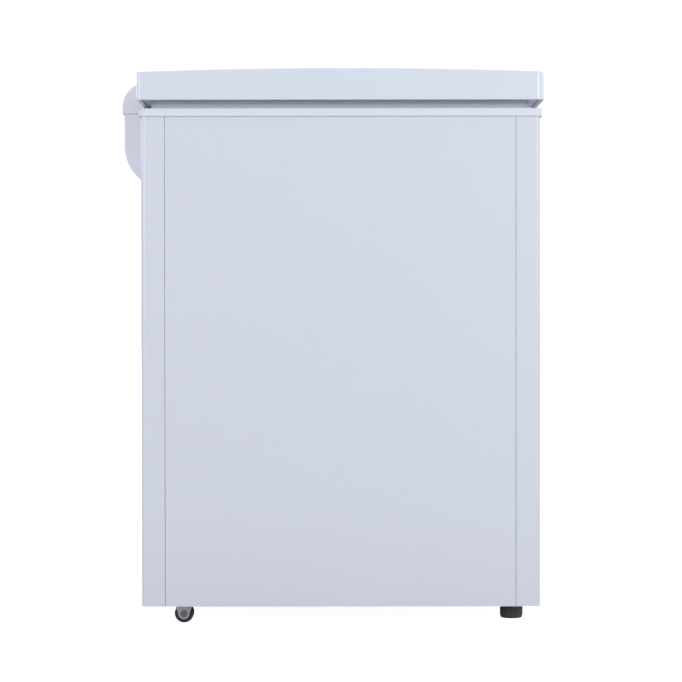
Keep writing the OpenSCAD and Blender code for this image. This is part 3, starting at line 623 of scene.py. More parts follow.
def metal_finish(slot, rough, flakes, contrast, brushed=0.0, tint=1.0):
    """Plated, galvanised or drawn metal."""
    material, add, link, shader = start_material(slot)
    colour = shaded(COLOUR_OF[slot], tint)
    flake = placed(add, crystal_flakes, {"Size": flakes, "Contrast": contrast})
    tone = add("ShaderNodeMix", data_type="RGBA")
    tone.inputs["A"].default_value = rgba(colour)
    tone.inputs["B"].default_value = rgba(shaded(colour, 0.55))
    link(flake.outputs["Tone"], tone.inputs["Factor"])
    link(tone.outputs["Result"], shader.inputs["Base Color"])
    gloss = math_node(add, link, "ADD", flake.outputs["Tone"], rough - contrast * 0.5)
    link(gloss, shader.inputs["Roughness"])
    if brushed:
        relief = placed(add, brushed_lines, {"Depth": brushed})
    else:
        relief = placed(add, grained_surface, {
            "Grain scale": 300.0, "Grain depth": 0.02, "Wave scale": 12.0, "Wave depth": 0.1})
    link(relief.outputs["Normal"], shader.inputs["Normal"])
    shader.inputs["Metallic"].default_value = 1.0
    return material


def embossed_finish(slot):
    """Aluminium sheet with the small orange-peel pebbles of a stucco roll."""
    material, add, link, shader = start_material(slot)
    colour = COLOUR_OF[slot]
    flake = placed(add, crystal_flakes, {"Size": 210.0, "Contrast": 0.5})
    bump = add("ShaderNodeBump")
    bump.inputs["Strength"].default_value = 0.7
    bump.inputs["Distance"].default_value = 0.6 * MM
    link(flake.outputs["Edge"], bump.inputs["Height"])
    link(bump.outputs["Normal"], shader.inputs["Normal"])
    tone = placed(add, uneven_tone, {
        "Colour": rgba(colour), "Second colour": rgba(shaded(colour, 0.86)), "Scale": 3.0,
        "Amount": 0.4, "Gloss": 0.30, "Gloss change": 0.12})
    link(tone.outputs["Colour"], shader.inputs["Base Color"])
    link(tone.outputs["Roughness"], shader.inputs["Roughness"])
    shader.inputs["Metallic"].default_value = 0.85
    return material


def lens_finish(slot):
    """Tinted lenses: green, amber and red from left to right."""
    material, add, link, shader = start_material(slot)
    place = add("ShaderNodeTexCoord")
    split = add("ShaderNodeSeparateXYZ")
    link(place.outputs["Object"], split.inputs["Vector"])
    low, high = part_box("indicator_lenses")
    span = add("ShaderNodeMapRange")
    span.inputs["From Min"].default_value = low.x
    span.inputs["From Max"].default_value = high.x
    link(split.outputs["X"], span.inputs["Value"])
    ramp = add("ShaderNodeValToRGB")
    ramp.color_ramp.interpolation = "CONSTANT"
    ramp.color_ramp.elements[0].color = (0.05, 0.42, 0.10, 1)
    ramp.color_ramp.elements[1].position = 0.34
    ramp.color_ramp.elements[1].color = (0.75, 0.38, 0.03, 1)
    third = ramp.color_ramp.elements.new(0.67)
    third.color = (0.58, 0.03, 0.025, 1)
    link(span.outputs["Result"], ramp.inputs["Fac"])
    link(ramp.outputs["Color"], shader.inputs["Base Color"])
    grain = placed(add, grained_surface, {"Grain scale": 900.0, "Grain depth": 0.01})
    link(grain.outputs["Normal"], shader.inputs["Normal"])
    shader.inputs["Roughness"].default_value = 0.12
    shader.inputs["Coat Weight"].default_value = 0.6
    return material


def finish(slot):
    """The material of a slot, built once."""
    if slot not in MATERIALS:
        if slot in FINISHES:
            MATERIALS[slot] = coated_finish(slot, **FINISHES[slot])
        elif slot in METALS:
            MATERIALS[slot] = metal_finish(slot, **METALS[slot])
        elif slot == "liner_aluminium":
            MATERIALS[slot] = embossed_finish(slot)
        elif slot == "lens_plastic":
            MATERIALS[slot] = lens_finish(slot)
        else:
            raise RuntimeError("no finish for slot " + slot)
    return MATERIALS[slot]


# ---------------------------------------------------------------- repeating pieces

def repeat_tree():
    """Puts the piece it is given at the points of a grid, as one mesh."""
    tree = bpy.data.node_groups.new("repeated_piece", "GeometryNodeTree")
    face = tree.interface
    face.new_socket("Piece", in_out="INPUT", socket_type="NodeSocketGeometry")
    for name in ("Columns", "Rows"):
        face.new_socket(name, in_out="INPUT", socket_type="NodeSocketInt").default_value = 2
    for name in ("Centre", "Column step", "Row step"):
        face.new_socket(name, in_out="INPUT", socket_type="NodeSocketVector")
    face.new_socket("Material", in_out="INPUT", socket_type="NodeSocketMaterial")
    face.new_socket("Geometry", in_out="OUTPUT", socket_type="NodeSocketGeometry")
    add, link = nodes_of(tree)
    given, result = add("NodeGroupInput"), add("NodeGroupOutput")
    columns = add("GeometryNodeMeshLine", mode="OFFSET")
    rows = add("GeometryNodeMeshLine", mode="OFFSET")
    for line, count, step in ((columns, "Columns", "Column step"), (rows, "Rows", "Row step")):
        link(given.outputs[count], line.inputs["Count"])
        link(given.outputs[step], line.inputs["Offset"])
        # half of the line's length back, so that the grid is centred
        less = math_node(add, link, "SUBTRACT", given.outputs[count], 1)
        half = math_node(add, link, "MULTIPLY", less, -0.5)
        back = add("ShaderNodeVectorMath", operation="SCALE")
        link(given.outputs[step], back.inputs[0])
        link(half, back.inputs["Scale"])
        link(back.outputs["Vector"], line.inputs["Start Location"])
    each_row = add("GeometryNodeInstanceOnPoints")
    link(columns.outputs["Mesh"], each_row.inputs["Points"])
    link(given.outputs["Piece"], each_row.inputs["Instance"])
    grid = add("GeometryNodeInstanceOnPoints")
    link(rows.outputs["Mesh"], grid.inputs["Points"])
    link(each_row.outputs["Instances"], grid.inputs["Instance"])
    moved = add("GeometryNodeTransform")
    link(grid.outputs["Instances"], moved.inputs["Geometry"])
    link(given.outputs["Centre"], moved.inputs["Translation"])
    real = add("GeometryNodeRealizeInstances")
    link(moved.outputs["Geometry"], real.inputs["Geometry"])
    painted = add("GeometryNodeSetMaterial")
    link(real.outputs["Geometry"], painted.inputs["Geometry"])
    link(given.outputs["Material"], painted.inputs["Material"])
    link(painted.outputs["Geometry"], result.inputs["Geometry"])
    return tree


def run_tree(obj, maker, values):
    """Runs a geometry tree on obj with inputs by name and leaves a plain mesh."""
    tree = built(maker)
    modifier = obj.modifiers.new("tree", "NODES")
    modifier.node_group = tree
    for item in tree.interface.items_tree:
        if item.item_type == "SOCKET" and item.in_out == "INPUT" and item.name in values:
            modifier[item.identifier] = values[item.name]
    return settled(obj)


def repeated(obj, slot, centre, columns, rows, column_step, row_step):
    """Copies obj over a centred grid of columns and rows."""
    return run_tree(obj, repeat_tree, {
        "Columns": columns, "Rows": rows, "Centre": tuple(centre), "Column step": column_step,
        "Row step": row_step, "Material": finish(slot)})


def wire_tree():
    """U-shaped wires side by side: each goes down one side, across the floor and up the other."""
    tree = bpy.data.node_groups.new("hanging_wires", "GeometryNodeTree")
    face = tree.interface
    sizes = {"Span": 0.2, "Depth": 0.18, "Bend radius": 0.012, "Wire radius": 0.0013, "Pitch": 0.03}
    for name, value in sizes.items():
        face.new_socket(name, in_out="INPUT", socket_type="NodeSocketFloat").default_value = value
    face.new_socket("Wires", in_out="INPUT", socket_type="NodeSocketInt").default_value = 5
    face.new_socket("Centre", in_out="INPUT", socket_type="NodeSocketVector")
    face.new_socket("Turn", in_out="INPUT", socket_type="NodeSocketFloat")
    face.new_socket("Material", in_out="INPUT", socket_type="NodeSocketMaterial")
    face.new_socket("Geometry", in_out="OUTPUT", socket_type="NodeSocketGeometry")
    add, link = nodes_of(tree)
    given, result = add("NodeGroupInput"), add("NodeGroupOutput")
    line = add("GeometryNodeMeshLine", mode="OFFSET")
    line.inputs["Count"].default_value = 4
    index = add("GeometryNodeInputIndex")
    half = math_node(add, link, "MULTIPLY", given.outputs["Span"], 0.5)
    # points 0 and 1 stand at -half, 2 and 3 at +half; 0 and 3 are up, 1 and 2 down
    right = math_node(add, link, "GREATER_THAN", index.outputs[0], 1.5)
    side = math_node(add, link, "MULTIPLY_ADD", right, 2.0)
    side.node.inputs[2].default_value = -1.0
    from_middle = math_node(add, link, "SUBTRACT", index.outputs[0], 1.5)
    away = math_node(add, link, "ABSOLUTE", from_middle, 0)
    up = math_node(add, link, "GREATER_THAN", away, 1.0)
    point = add("ShaderNodeCombineXYZ")
    link(math_node(add, link, "MULTIPLY", side, half), point.inputs["X"])
    link(math_node(add, link, "MULTIPLY", up, given.outputs["Depth"]), point.inputs["Z"])
    put = add("GeometryNodeSetPosition")
    link(line.outputs["Mesh"], put.inputs["Geometry"])
    link(point.outputs["Vector"], put.inputs["Position"])
    curve = add("GeometryNodeMeshToCurve")
    link(put.outputs["Geometry"], curve.inputs["Mesh"])
    bent = add("GeometryNodeFilletCurve", mode="POLY")
    bent.inputs["Count"].default_value = 5
    link(curve.outputs["Curve"], bent.inputs["Curve"])
    link(given.outputs["Bend radius"], bent.inputs["Radius"])
    ring = add("GeometryNodeCurvePrimitiveCircle", mode="RADIUS")
    ring.inputs["Resolution"].default_value = 8
    link(given.outputs["Wire radius"], ring.inputs["Radius"])
    wire = add("GeometryNodeCurveToMesh")
    link(bent.outputs["Curve"], wire.inputs["Curve"])
    link(ring.outputs["Curve"], wire.inputs["Profile Curve"])
    wire.inputs["Fill Caps"].default_value = True
    row = add("GeometryNodeMeshLine", mode="OFFSET")
    step = add("ShaderNodeCombineXYZ")
    link(given.outputs["Pitch"], step.inputs["Y"])
    link(given.outputs["Wires"], row.inputs["Count"])
    link(step.outputs["Vector"], row.inputs["Offset"])
    less = math_node(add, link, "SUBTRACT", given.outputs["Wires"], 1)
    back = add("ShaderNodeVectorMath", operation="SCALE")
    link(step.outputs["Vector"], back.inputs[0])
    link(math_node(add, link, "MULTIPLY", less, -0.5), back.inputs["Scale"])
    link(back.outputs["Vector"], row.inputs["Start Location"])
    copies = add("GeometryNodeInstanceOnPoints")
    link(row.outputs["Mesh"], copies.inputs["Points"])
    link(wire.outputs["Mesh"], copies.inputs["Instance"])
    turn = add("ShaderNodeCombineXYZ")
    link(given.outputs["Turn"], turn.inputs["Z"])
    moved = add("GeometryNodeTransform")
    link(copies.outputs["Instances"], moved.inputs["Geometry"])
    link(given.outputs["Centre"], moved.inputs["Translation"])
    link(turn.outputs["Vector"], moved.inputs["Rotation"])
    real = add("GeometryNodeRealizeInstances")
    link(moved.outputs["Geometry"], real.inputs["Geometry"])
    even = add("GeometryNodeSetShadeSmooth")
    link(real.outputs["Geometry"], even.inputs["Geometry"])
    painted = add("GeometryNodeSetMaterial")
    link(even.outputs["Geometry"], painted.inputs["Geometry"])
    link(given.outputs["Material"], painted.inputs["Material"])
    link(painted.outputs["Geometry"], result.inputs["Geometry"])
    return tree


# ---------------------------------------------------------------- settings

class CabinetSizes(bpy.types.PropertyGroup):
    """Sizes of the cabinet's sheet metal and collar"""
    corner: FloatProperty(name="Corner radius", description="Radius of the cabinet's upright corners",
                          default=7 * MM, min=3 * MM, max=12 * MM, unit="LENGTH")
    seam: FloatProperty(name="Seam radius", description="Bend radius of the sheet beside an upright seam",
                        default=0.85 * MM, min=0.6 * MM, max=2 * MM, unit="LENGTH")
    collar_edge: FloatProperty(name="Collar edge", description="Rounding of the collar's upper edge",
                               default=1.6 * MM, min=0.5 * MM, max=2.4 * MM, unit="LENGTH")


class LidSizes(bpy.types.PropertyGroup):
    """Sizes of the lid"""
    front_corner: FloatProperty(name="Front corner", description="Radius of the lid's front upright corners",
                                default=13 * MM, min=8 * MM, max=16 * MM, unit="LENGTH")
    rear_corner: FloatProperty(name="Rear corner", description="Radius of the lid's rear upright corners",
                               default=6 * MM, min=4 * MM, max=12 * MM, unit="LENGTH")
    top_edge: FloatProperty(name="Top edge", description="Rounding along the lid's top edge",
                            default=2.6 * MM, min=1 * MM, max=3 * MM, unit="LENGTH")
    crown: FloatProperty(name="Crown", description="Rise of the lid's top between front and rear",
                         default=5.8 * MM, min=1 * MM, max=7 * MM, unit="LENGTH")


class BasketSizes(bpy.types.PropertyGroup):
    """Sizes of the hanging basket"""
    wire: FloatProperty(name="Wire", description="Radius of the basket's thin wires",
                        default=1.3 * MM, min=1 * MM, max=1.5 * MM, unit="LENGTH")
    rim: FloatProperty(name="Rim", description="Radius of the basket's rim wire",
                       default=2.4 * MM, min=1.5 * MM, max=3 * MM, unit="LENGTH")
    cross_wires: IntProperty(name="Cross wires", description="Number of wires across the basket",
                             default=15, min=5, max=30)
    long_wires: IntProperty(name="Long wires", description="Number of wires along the basket",
                            default=6, min=3, max=12)


class StageSettings(bpy.types.PropertyGroup):
    """The floor, the camera and the lights"""
    distance: FloatProperty(name="Camera distance", description="From the camera to the cabinet's left side",
                            default=3.0, min=1.0, max=10.0, unit="LENGTH")
    eye: FloatProperty(name="Eye height", description="Height of the camera above the floor",
                       default=0.4655, min=0.1, max=2.0, unit="LENGTH")
    pitch: FloatProperty(name="Pitch", description="How far the camera looks down",
                         default=radians(0.6), subtype="ANGLE")
    roll: FloatProperty(name="Roll", description="How far the camera leans",
                        default=radians(0.07), subtype="ANGLE")
    lens: FloatProperty(name="Lens", description="Focal length in millimetres on a 36 mm sensor",
                        default=103.7, min=20.0, max=200.0)
    sky: FloatVectorProperty(name="Sky", description="Colour of the light from all round",
                             default=(0.925, 0.955, 1.0), subtype="COLOR")
    floor: FloatVectorProperty(name="Floor", description="Colour of the floor as the freezer sees it",
                               default=(0.50, 0.50, 0.51), subtype="COLOR")
    glow: FloatProperty(name="Glow", description="How much the floor shines towards the camera",
                        default=0.95, min=0.0, max=3.0)
    sky_strength: FloatProperty(name="Sky strength", description="Strength of the light from all round",
                                default=0.735, min=0.0, max=3.0)


def settings(name):
    """The scene's settings of one group."""
    return getattr(bpy.context.scene, "freezer_" + name)


# ---------------------------------------------------------------- operators

class FREEZER_OT_finishes(bpy.types.Operator):
    """Gives every packed part the finish of its slot"""
    bl_idname = "freezer.finishes"
    bl_label = "Finishes"

    def execute(self, context):
        for node, obj in frame["nodes"].items():
            material = finish(SLOT_OF[node])
            if not obj.material_slots:
                obj.data.materials.append(material)
            for place in obj.material_slots:
                place.material = material
        return {"FINISHED"}


def side_sheet(side):
    """A flat side sheet whose edges are rolled inwards at the seams."""
    sizes = settings("cabinet")
    node = "left_side_panel" if side == LEFT else "right_side_panel"
    low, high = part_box(node)
    middle = HALF - SHEET / 2
    fold = HALF - SHEET - FOLD
    bend = sizes.seam - SHEET / 2
    y0, y1 = low.y + SHEET / 2, high.y - SHEET / 2
    centre = filleted([(fold, y0, 0), (middle, y0, bend), (middle, y1, bend), (fold, y1, 0)], 5, False)
    sheet = prism("sheet", strip(centre, SHEET), BASE, PANEL_TOP)
    hem = block("hem", (HALF - HEM, low.y + SHEET, BASE),
                (HALF - SHEET, high.y - SHEET, BASE + SHEET))
    obj = joined(node + "_piece", sheet, hem)
    if side == LEFT:
        obj.data.transform(Matrix.Scale(-1, 4, (1, 0, 0)))
        cleaned(obj)
    return obj


def end_sheet(y_wrap, y_face, out):
    """The front or rear sheet, wrapped round the cabinet's corners and rolled in at the seams.
    out is -1 for the front and 1 for the rear."""
    sizes = settings("cabinet")
    middle = HALF - SHEET / 2
    fold = HALF - SHEET - FOLD
    bend = sizes.seam - SHEET / 2
    corner = sizes.corner - SHEET / 2
    edge, face = y_wrap + out * SHEET / 2, y_face - out * SHEET / 2
    half_line = [(fold, edge, 0), (middle, edge, bend), (middle, face, corner)]
    points = half_line + [(-x, y, r) for x, y, r in half_line[::-1]]
    centre = filleted(points, 8, False)
    sheet = prism("sheet", strip(centre, SHEET), BASE, PANEL_TOP)
    inner = y_face - out * SHEET
    front, rear = sorted((inner, inner - out * HEM))
    hem = block("hem", (-HALF + sizes.corner, front, BASE), (HALF - sizes.corner, rear, BASE + SHEET))
    return joined("sheet", sheet, hem)


def round_cutter(centre, radius, length):
    """A rod along Y for cutting a hole through a front or rear sheet."""
    h = length / 2
    return turned("hole", [(0, -h), (radius, -h), (radius, h), (0, h)], centre, (0, 1, 0), 48)


class FREEZER_OT_panels(bpy.types.Operator):
    """Builds the four upright sheets with their rolled seams"""
    bl_idname = "freezer.panels"
    bl_label = "Cabinet sheets"

    def execute(self, context):
        left = side_sheet(LEFT)
        fitted(smooth(left), "cabinet", "cabinet_white", "left_side_panel")
        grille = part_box("side_grille")
        right = side_sheet(RIGHT)
        lap = 10 * MM
        window = block("window", (HALF - THROUGH, grille[0].y + lap, grille[0].z + lap),
                       (HALF + THROUGH, grille[1].y - lap, grille[1].z - lap))
        fitted(smooth(cut(right, window)), "cabinet", "cabinet_white", "right_side_panel")
        front_box, rear_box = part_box("front_panel"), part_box("rear_panel")
        bezel, outlet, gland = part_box("control_bezel"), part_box("drain_outlet"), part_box("cord_gland")
        front = end_sheet(front_box[1].y, FRONT, LEFT)
        front.name = "front_panel_piece"
        lap, through = 6 * MM, 4 * MM
        opening = block("window", (bezel[0].x + lap, FRONT - through, bezel[0].z + lap),
                        (bezel[1].x - lap, FRONT + through, bezel[1].z - lap))
        spout = (outlet[0] + outlet[1]) / 2
        hole = round_cutter((spout.x, FRONT, spout.z), 21 * MM, 8 * MM)
        fitted(smooth(cut(front, opening, hole)), "cabinet", "cabinet_white", "front_panel")
        rear = end_sheet(rear_box[0].y, REAR, RIGHT)
        rear.name = "rear_panel_piece"
        middle = (gland[0] + gland[1]) / 2
        hole = round_cutter((middle.x, REAR, middle.z), 9 * MM, 8 * MM)
        fitted(smooth(cut(rear, hole)), "cabinet", "cabinet_white", "rear_panel")
        return {"FINISHED"}


def section_loft(name, section, steps=4):
    """A closed section of (inset, height, corner radius, fillet) taken round the cabinet."""
    points = filleted(section, steps)
    return loft(name, [around(p[0], max(p[2], 0.2 * MM), p[1]) for p in points], closed=True)


class FREEZER_OT_collar(bpy.types.Operator):
    """Builds the plastic collar round the cabinet's mouth, with its basket ledge"""
    bl_idname = "freezer.collar"
    bl_label = "Collar"

    def execute(self, context):
        sizes = settings("cabinet")
        low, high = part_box("top_trim_frame")
        out = -HALF - low.x
        skirt = 12 * MM
        plate = 2.5 * MM
        ledge = high.z - 13.5 * MM
        edge = sizes.collar_edge
        section = [
            (-out, high.z - skirt, 10.5 * MM, 0.5 * MM),
            (-out, high.z, 10.5 * MM, edge),
            (41 * MM, high.z, 61 * MM, 1.6 * MM),
            (41 * MM, ledge, 61 * MM, 1.5 * MM),
            (63 * MM, ledge, 38 * MM, 1.0 * MM),
            (63 * MM, low.z, 38 * MM, 0.4 * MM),
            (61.5 * MM, low.z, 39.5 * MM, 0.4 * MM),
            (61.5 * MM, ledge - plate, 39.5 * MM, 0),
            (38.5 * MM, ledge - plate, 63 * MM, 0.8 * MM),
            (38.5 * MM, high.z - plate, 63 * MM, 0),
            (-0.3 * MM, high.z - plate, 7.3 * MM, 0),
            (-0.3 * MM, high.z - skirt, 7.3 * MM, 0.4 * MM),
        ]
        collar = section_loft("top_trim_frame_piece", section)
        fitted(smooth(collar, 50), "cabinet", "collar_plastic", "top_trim_frame")
        return {"FINISHED"}


def crown_height(y, rise):
    """Height of the lid's top at y, on the circle that the crown follows."""
    half = (REAR - FRONT) / 2 + LID_OUT
    radius = (half * half + rise * rise) / (2 * rise)
    return LID_HIGH.z - radius + sqrt(radius * radius - (y - MIDDLE_Y) ** 2)


def grip_cutter():
    """The space that the handle insert fills in the lid's front edge."""
    low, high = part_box("lid_handle")
    room = 0.15 * MM
    return block("grip", (low.x - room, low.y - THROUGH, low.z - THROUGH),
                 (high.x + room, high.y + room, high.z + room))


class FREEZER_OT_lid(bpy.types.Operator):
    """Builds the lid's crowned shell, its moulded inner panel and the grip in its front edge"""
    bl_idname = "freezer.lid"
    bl_label = "Lid"

    def shell(self, sizes):
        """The outer sheet: hem, skirt, rounded top edge and crowned top."""
        counts = dict(corner=10, across=24, along=18)
        bottom = LID_LOW.z - 1.4 * MM

        def level(s, dz, crowned):
            """dz above the skirt's lower edge, or below the crown."""
            front = max(sizes.front_corner - (s + LID_OUT), 0)
            rear = max(sizes.rear_corner - (s + LID_OUT), 0)
            z = (lambda x, y: crown_height(y, sizes.crown) - dz) if crowned else bottom + dz
            return around(s, front, z, rear, **counts)

        out, edge, hem = -LID_OUT, sizes.top_edge, 7 * MM
        lower = 1.2 * MM
        s = out + 30 * MM
        levels = [level(out + hem, 0, False)]
        for k in range(5):
            a = radians(90 * k / 4)
            levels.append(level(out + lower * (1 - sin(a)), lower * (1 - cos(a)), False))
        for k in range(7):
            a = radians(90 * k / 6)
            levels.append(level(out + edge * (1 - cos(a)), edge * (1 - sin(a)), True))
        levels.append(level(s, 0, True))
        shell = loft("shell", levels)
        # the crowned middle, on the same divisions as the last level
        nx, ny = counts["across"], counts["along"]
        x0, x1, y0, y1 = -HALF + s, HALF - s, FRONT + s, REAR - s
        verts = [(x0 + (x1 - x0) * i / nx, y, crown_height(y, sizes.crown))
                 for j in range(ny + 1) for y in [y0 + (y1 - y0) * j / ny] for i in range(nx + 1)]
        row = nx + 1
        faces = [(j * row + i, j * row + i + 1, (j + 1) * row + i + 1, (j + 1) * row + i)
                 for j in range(ny) for i in range(nx)]
        top = joined("lid_shell_piece", shell, new_object("middle", verts, faces))
        return smooth(cut(thickened(cleaned(top, 1e-5), SHEET), grip_cutter()), 40)

    def inner(self):
        """The moulded panel under the foam, with a raised ridge round its field."""
        low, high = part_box("lid_inner_panel")
        inset = low.x + HALF
        top, flat = high.z, high.z - 2 * MM
        bulge, r = 69 * MM, 30 * MM
        counts = dict(corner=10)
        ridge, field = low.z - 1.2 * MM, low.z + 0.8 * MM
        corners = [
            (inset, flat, 12 * MM, 0),
            (bulge, flat, r, 3 * MM),
            (bulge + 1 * MM, ridge, r - 1 * MM, 7 * MM),
            (bulge + 26 * MM, ridge, r - 8 * MM, 2 * MM),
            (bulge + 29 * MM, field, r - 9 * MM, 2 * MM),
            (bulge + 60 * MM, field, r - 12 * MM, 0),
        ]
        section = filleted(corners, 5, False)
        levels = [around(inset, 12 * MM, top, 5 * MM, **counts)]
        for i, p in enumerate(section):
            rear = 5 * MM if i == 0 else p[2]
            levels.append(around(p[0], p[2], p[1], rear, **counts))
        skin = loft("lid_inner_panel_piece", levels, caps=(False, True))
        return smooth(cut(thickened(skin, 1.2 * MM), grip_cutter()), 40)

    def execute(self, context):
        sizes = settings("lid")
        fitted(self.shell(sizes), "lid", "lid_white", "lid_shell")
        fitted(self.inner(), "lid", "inner_white", "lid_inner_panel")
        softened("lid_handle", "lid", 0.7 * MM, 3)
        return {"FINISHED"}


class FREEZER_OT_gasket(bpy.types.Operator):
    """Builds the lid's bellows gasket"""
    bl_idname = "freezer.gasket"
    bl_label = "Gasket"

    def execute(self, context):
        low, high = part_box("lid_gasket")
        z0, z1 = low.z, high.z
        middle = z0 + 7 * MM
        section = [
            (13.5 * MM, z0, 12 * MM, 1.4 * MM),
            (13.5 * MM, z0 + 3.6 * MM, 12 * MM, 0.8 * MM),
            (14.7 * MM, z0 + 4.4 * MM, 12 * MM, 0.4 * MM),
            (14.7 * MM, middle - 1.4 * MM, 12 * MM, 0.3 * MM),
            (13.5 * MM, middle - 1.0 * MM, 12 * MM, 0.5 * MM),
            (13.5 * MM, middle + 0.4 * MM, 12 * MM, 0.5 * MM),
            (17 * MM, middle + 0.8 * MM, 11 * MM, 0.5 * MM),
            (15 * MM, middle + 2.4 * MM, 12 * MM, 0.8 * MM),
            (15 * MM, z1, 12 * MM, 0.5 * MM),
            (33 * MM, z1, 6 * MM, 0.5 * MM),
            (33 * MM, middle + 2.4 * MM, 6 * MM, 0.8 * MM),
            (31.4 * MM, middle + 0.6 * MM, 7 * MM, 0.5 * MM),
            (35 * MM, middle, 6 * MM, 1.6 * MM),
            (35 * MM, z0, 6 * MM, 1.6 * MM),
        ]
        fitted(smooth(section_loft("lid_gasket_piece", section), 50), "lid", "gasket_grey", "lid_gasket")
        return {"FINISHED"}


def hood(name, outline, x, width, wall, edge):
    """A hinge cover: an outline in Y and Z across a width. Its first point is the corner of the
    two open faces, and its back runs from the second point to the last."""
    half = width / 2
    n = len(outline)
    verts = [(side * half, y, z) for side in (LEFT, RIGHT) for y, z in outline]
    faces = [(k, k + 1, n + k + 1, n + k) for k in range(1, n - 1)]
    # cheeks close the sides
    faces += [tuple(range(n)), tuple(range(n, 2 * n))]
    obj = new_object(name, verts, faces)
    obj.data.shade_smooth()
    bevel = obj.modifiers.new("edges", "BEVEL")
    bevel.width, bevel.segments = edge, 5
    bevel.limit_method, bevel.angle_limit = "ANGLE", radians(50)
    settled(obj)
    thickened(obj, wall)
    obj.data.transform(Matrix.Translation((x, 0, 0)))
    return smooth(obj, 45)


class FREEZER_OT_hinge_covers(bpy.types.Operator):
    """Builds the four hinge covers"""
    bl_idname = "freezer.hinge_covers"
    bl_label = "Hinge covers"

    def execute(self, context):
        low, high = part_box("left_upper_hinge_cover")
        radius = high.y - REAR
        centre = high.z - radius
        width = high.x - low.x
        # from the lower rear edge up, round the top and down to the lid
        start = acos((low.y - REAR) / radius)
        upper = [(low.y, low.z), (high.y, low.z)]
        for k in range(25):
            a = start * k / 24
            upper.append((REAR + radius * cos(a), centre + radius * sin(a)))
        lower_low, lower_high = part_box("left_lower_hinge_cover")
        depth = lower_high.y - REAR
        # the back is straight down to the knee, and curves in to the cabinet below it
        knee, bend = 743 * MM, 70 * MM
        reach = acos((bend - depth) / bend)
        tucked = lower_high.z + 2.5 * MM
        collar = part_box("top_trim_frame")
        lower = [(REAR, tucked), (REAR + depth, tucked)]
        for k in range(21):
            a = reach * k / 20
            lower.append((REAR + depth - bend + bend * cos(a), knee - bend * sin(a)))
        wall, arm_room = 1.8 * MM, 14 * MM
        for name in ("left", "right"):
            node = name + "_upper_hinge_cover"
            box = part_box(node)
            piece = hood(node + "_piece", upper, (box[0].x + box[1].x) / 2, width, wall, 2.6 * MM)
            fitted(piece, "lid", "cover_plastic", node)
            node = name + "_lower_hinge_cover"
            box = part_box(node)
            middle = (box[0].x + box[1].x) / 2
            piece = hood(node + "_piece", lower, middle, lower_high.x - lower_low.x, wall, 2.2 * MM)
            # room for the collar's skirt, and for the arm when the lid is open
            notch = block("notch", (box[0].x - THROUGH, REAR - THROUGH, collar[1].z - 12.3 * MM),
                          (box[1].x + THROUGH, collar[1].y + 0.3 * MM, tucked + THROUGH))
            slot = block("slot", (middle - arm_room, REAR + 6 * MM, lower_high.z - 0.3 * MM),
                         (middle + arm_room, REAR + 60 * MM, tucked + THROUGH))
            fitted(smooth(cut(piece, notch, slot), 45), "cabinet", "cover_plastic", node)
        return {"FINISHED"}


class FREEZER_OT_hinges(bpy.types.Operator):
    """Builds the hinge brackets, arms, pins, plungers and coil springs"""
    bl_idname = "freezer.hinges"
    bl_label = "Hinges"

    def spring(self, name, plunger, x):
        """A coil spring that stretches between its seat and the plunger."""
        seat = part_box(name)[0].z + 0.2 * MM
        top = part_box(plunger)[1].z - 3 * MM
        y = (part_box(plunger)[0].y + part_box(plunger)[1].y) / 2
        wire, radius, turns, steps = 1.3 * MM, 6.7 * MM, 8, 24
        # an end turn rises by a little less than the wire's thickness
        flat = 2 * wire * 0.9
        low, high = seat + wire, top - wire - 0.4 * MM
        path = []
        for i in range(turns * steps + 1):
            t = i / (turns * steps)
            # the end turns lie flat
            rise = min(max((t * turns - 1) / (turns - 2), 0), 1)
            z = low + flat * min(t * turns, 1) + (high - low - 2 * flat) * rise
            z += flat * max(t * turns - turns + 1, 0)
            a = 2 * pi * i / steps
            path.append(Vector((x + radius * cos(a), y + radius * sin(a), z)))
        obj = smooth(tube(name + "_piece", path, wire, 8), 60)
        obj.data.materials.append(finish("spring_steel"))
        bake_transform(obj)
        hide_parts(name)

    def execute(self, context):
        for side, name in ((LEFT, "left"), (RIGHT, "right")):
            softened(name + "_hinge_bracket", "cabinet", 0.5 * MM, 2)
            softened(name + "_hinge_arm", "lid", 0.5 * MM, 2)
            softened(name + "_plunger", name + "_plunger", 0.7 * MM, 3)
            self.spring(name + "_hinge_spring", name + "_plunger", side * HINGE_X)
        softened("hinge_pins", "cabinet", 0.5 * MM, 2)
        return {"FINISHED"}


def screw_piece():
    """A pan-head screw along Y with a cross recess. Its head starts at the origin."""
    head, shank = 4.2 * MM, 2.4 * MM
    profile = [(0, -14 * MM), (0.4 * MM, -14 * MM), (shank, -11 * MM), (shank, 0), (head, 0),
               (head, 0.8 * MM), (head * 0.86, 1.8 * MM), (head * 0.55, 2.4 * MM), (0, 2.6 * MM)]
    screw = turned("screw", profile, (0, 0, 0), (0, 1, 0), 24)
    arm, slot = 2.3 * MM, 0.55 * MM
    first = block("recess", (-arm, 1.4 * MM, -slot), (arm, 4 * MM, slot))
    second = block("recess", (-slot, 1.4 * MM, -arm), (slot, 4 * MM, arm))
    return smooth(cut(screw, first, second), 40)


class FREEZER_OT_screws(bpy.types.Operator):
    """Builds the hinge screws"""
    bl_idname = "freezer.screws"
    bl_label = "Screws"

    def execute(self, context):
        for node, body, columns, rows in (("arm_screws", "lid", 44 * MM, 17 * MM),
                                          ("bracket_screws", "cabinet", 42 * MM, 56 * MM)):
            low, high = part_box(node)
            sides = []
            for side in (LEFT, RIGHT):
                centre = (side * HINGE_X, high.y - 2.6 * MM, (low.z + high.z) / 2)
                sides.append(repeated(screw_piece(), SLOT_OF[node], centre, 2, 2,
                                      (columns, 0, 0), (0, 0, rows)))
            fitted(joined(node + "_piece", *sides), body, SLOT_OF[node], node)
        return {"FINISHED"}


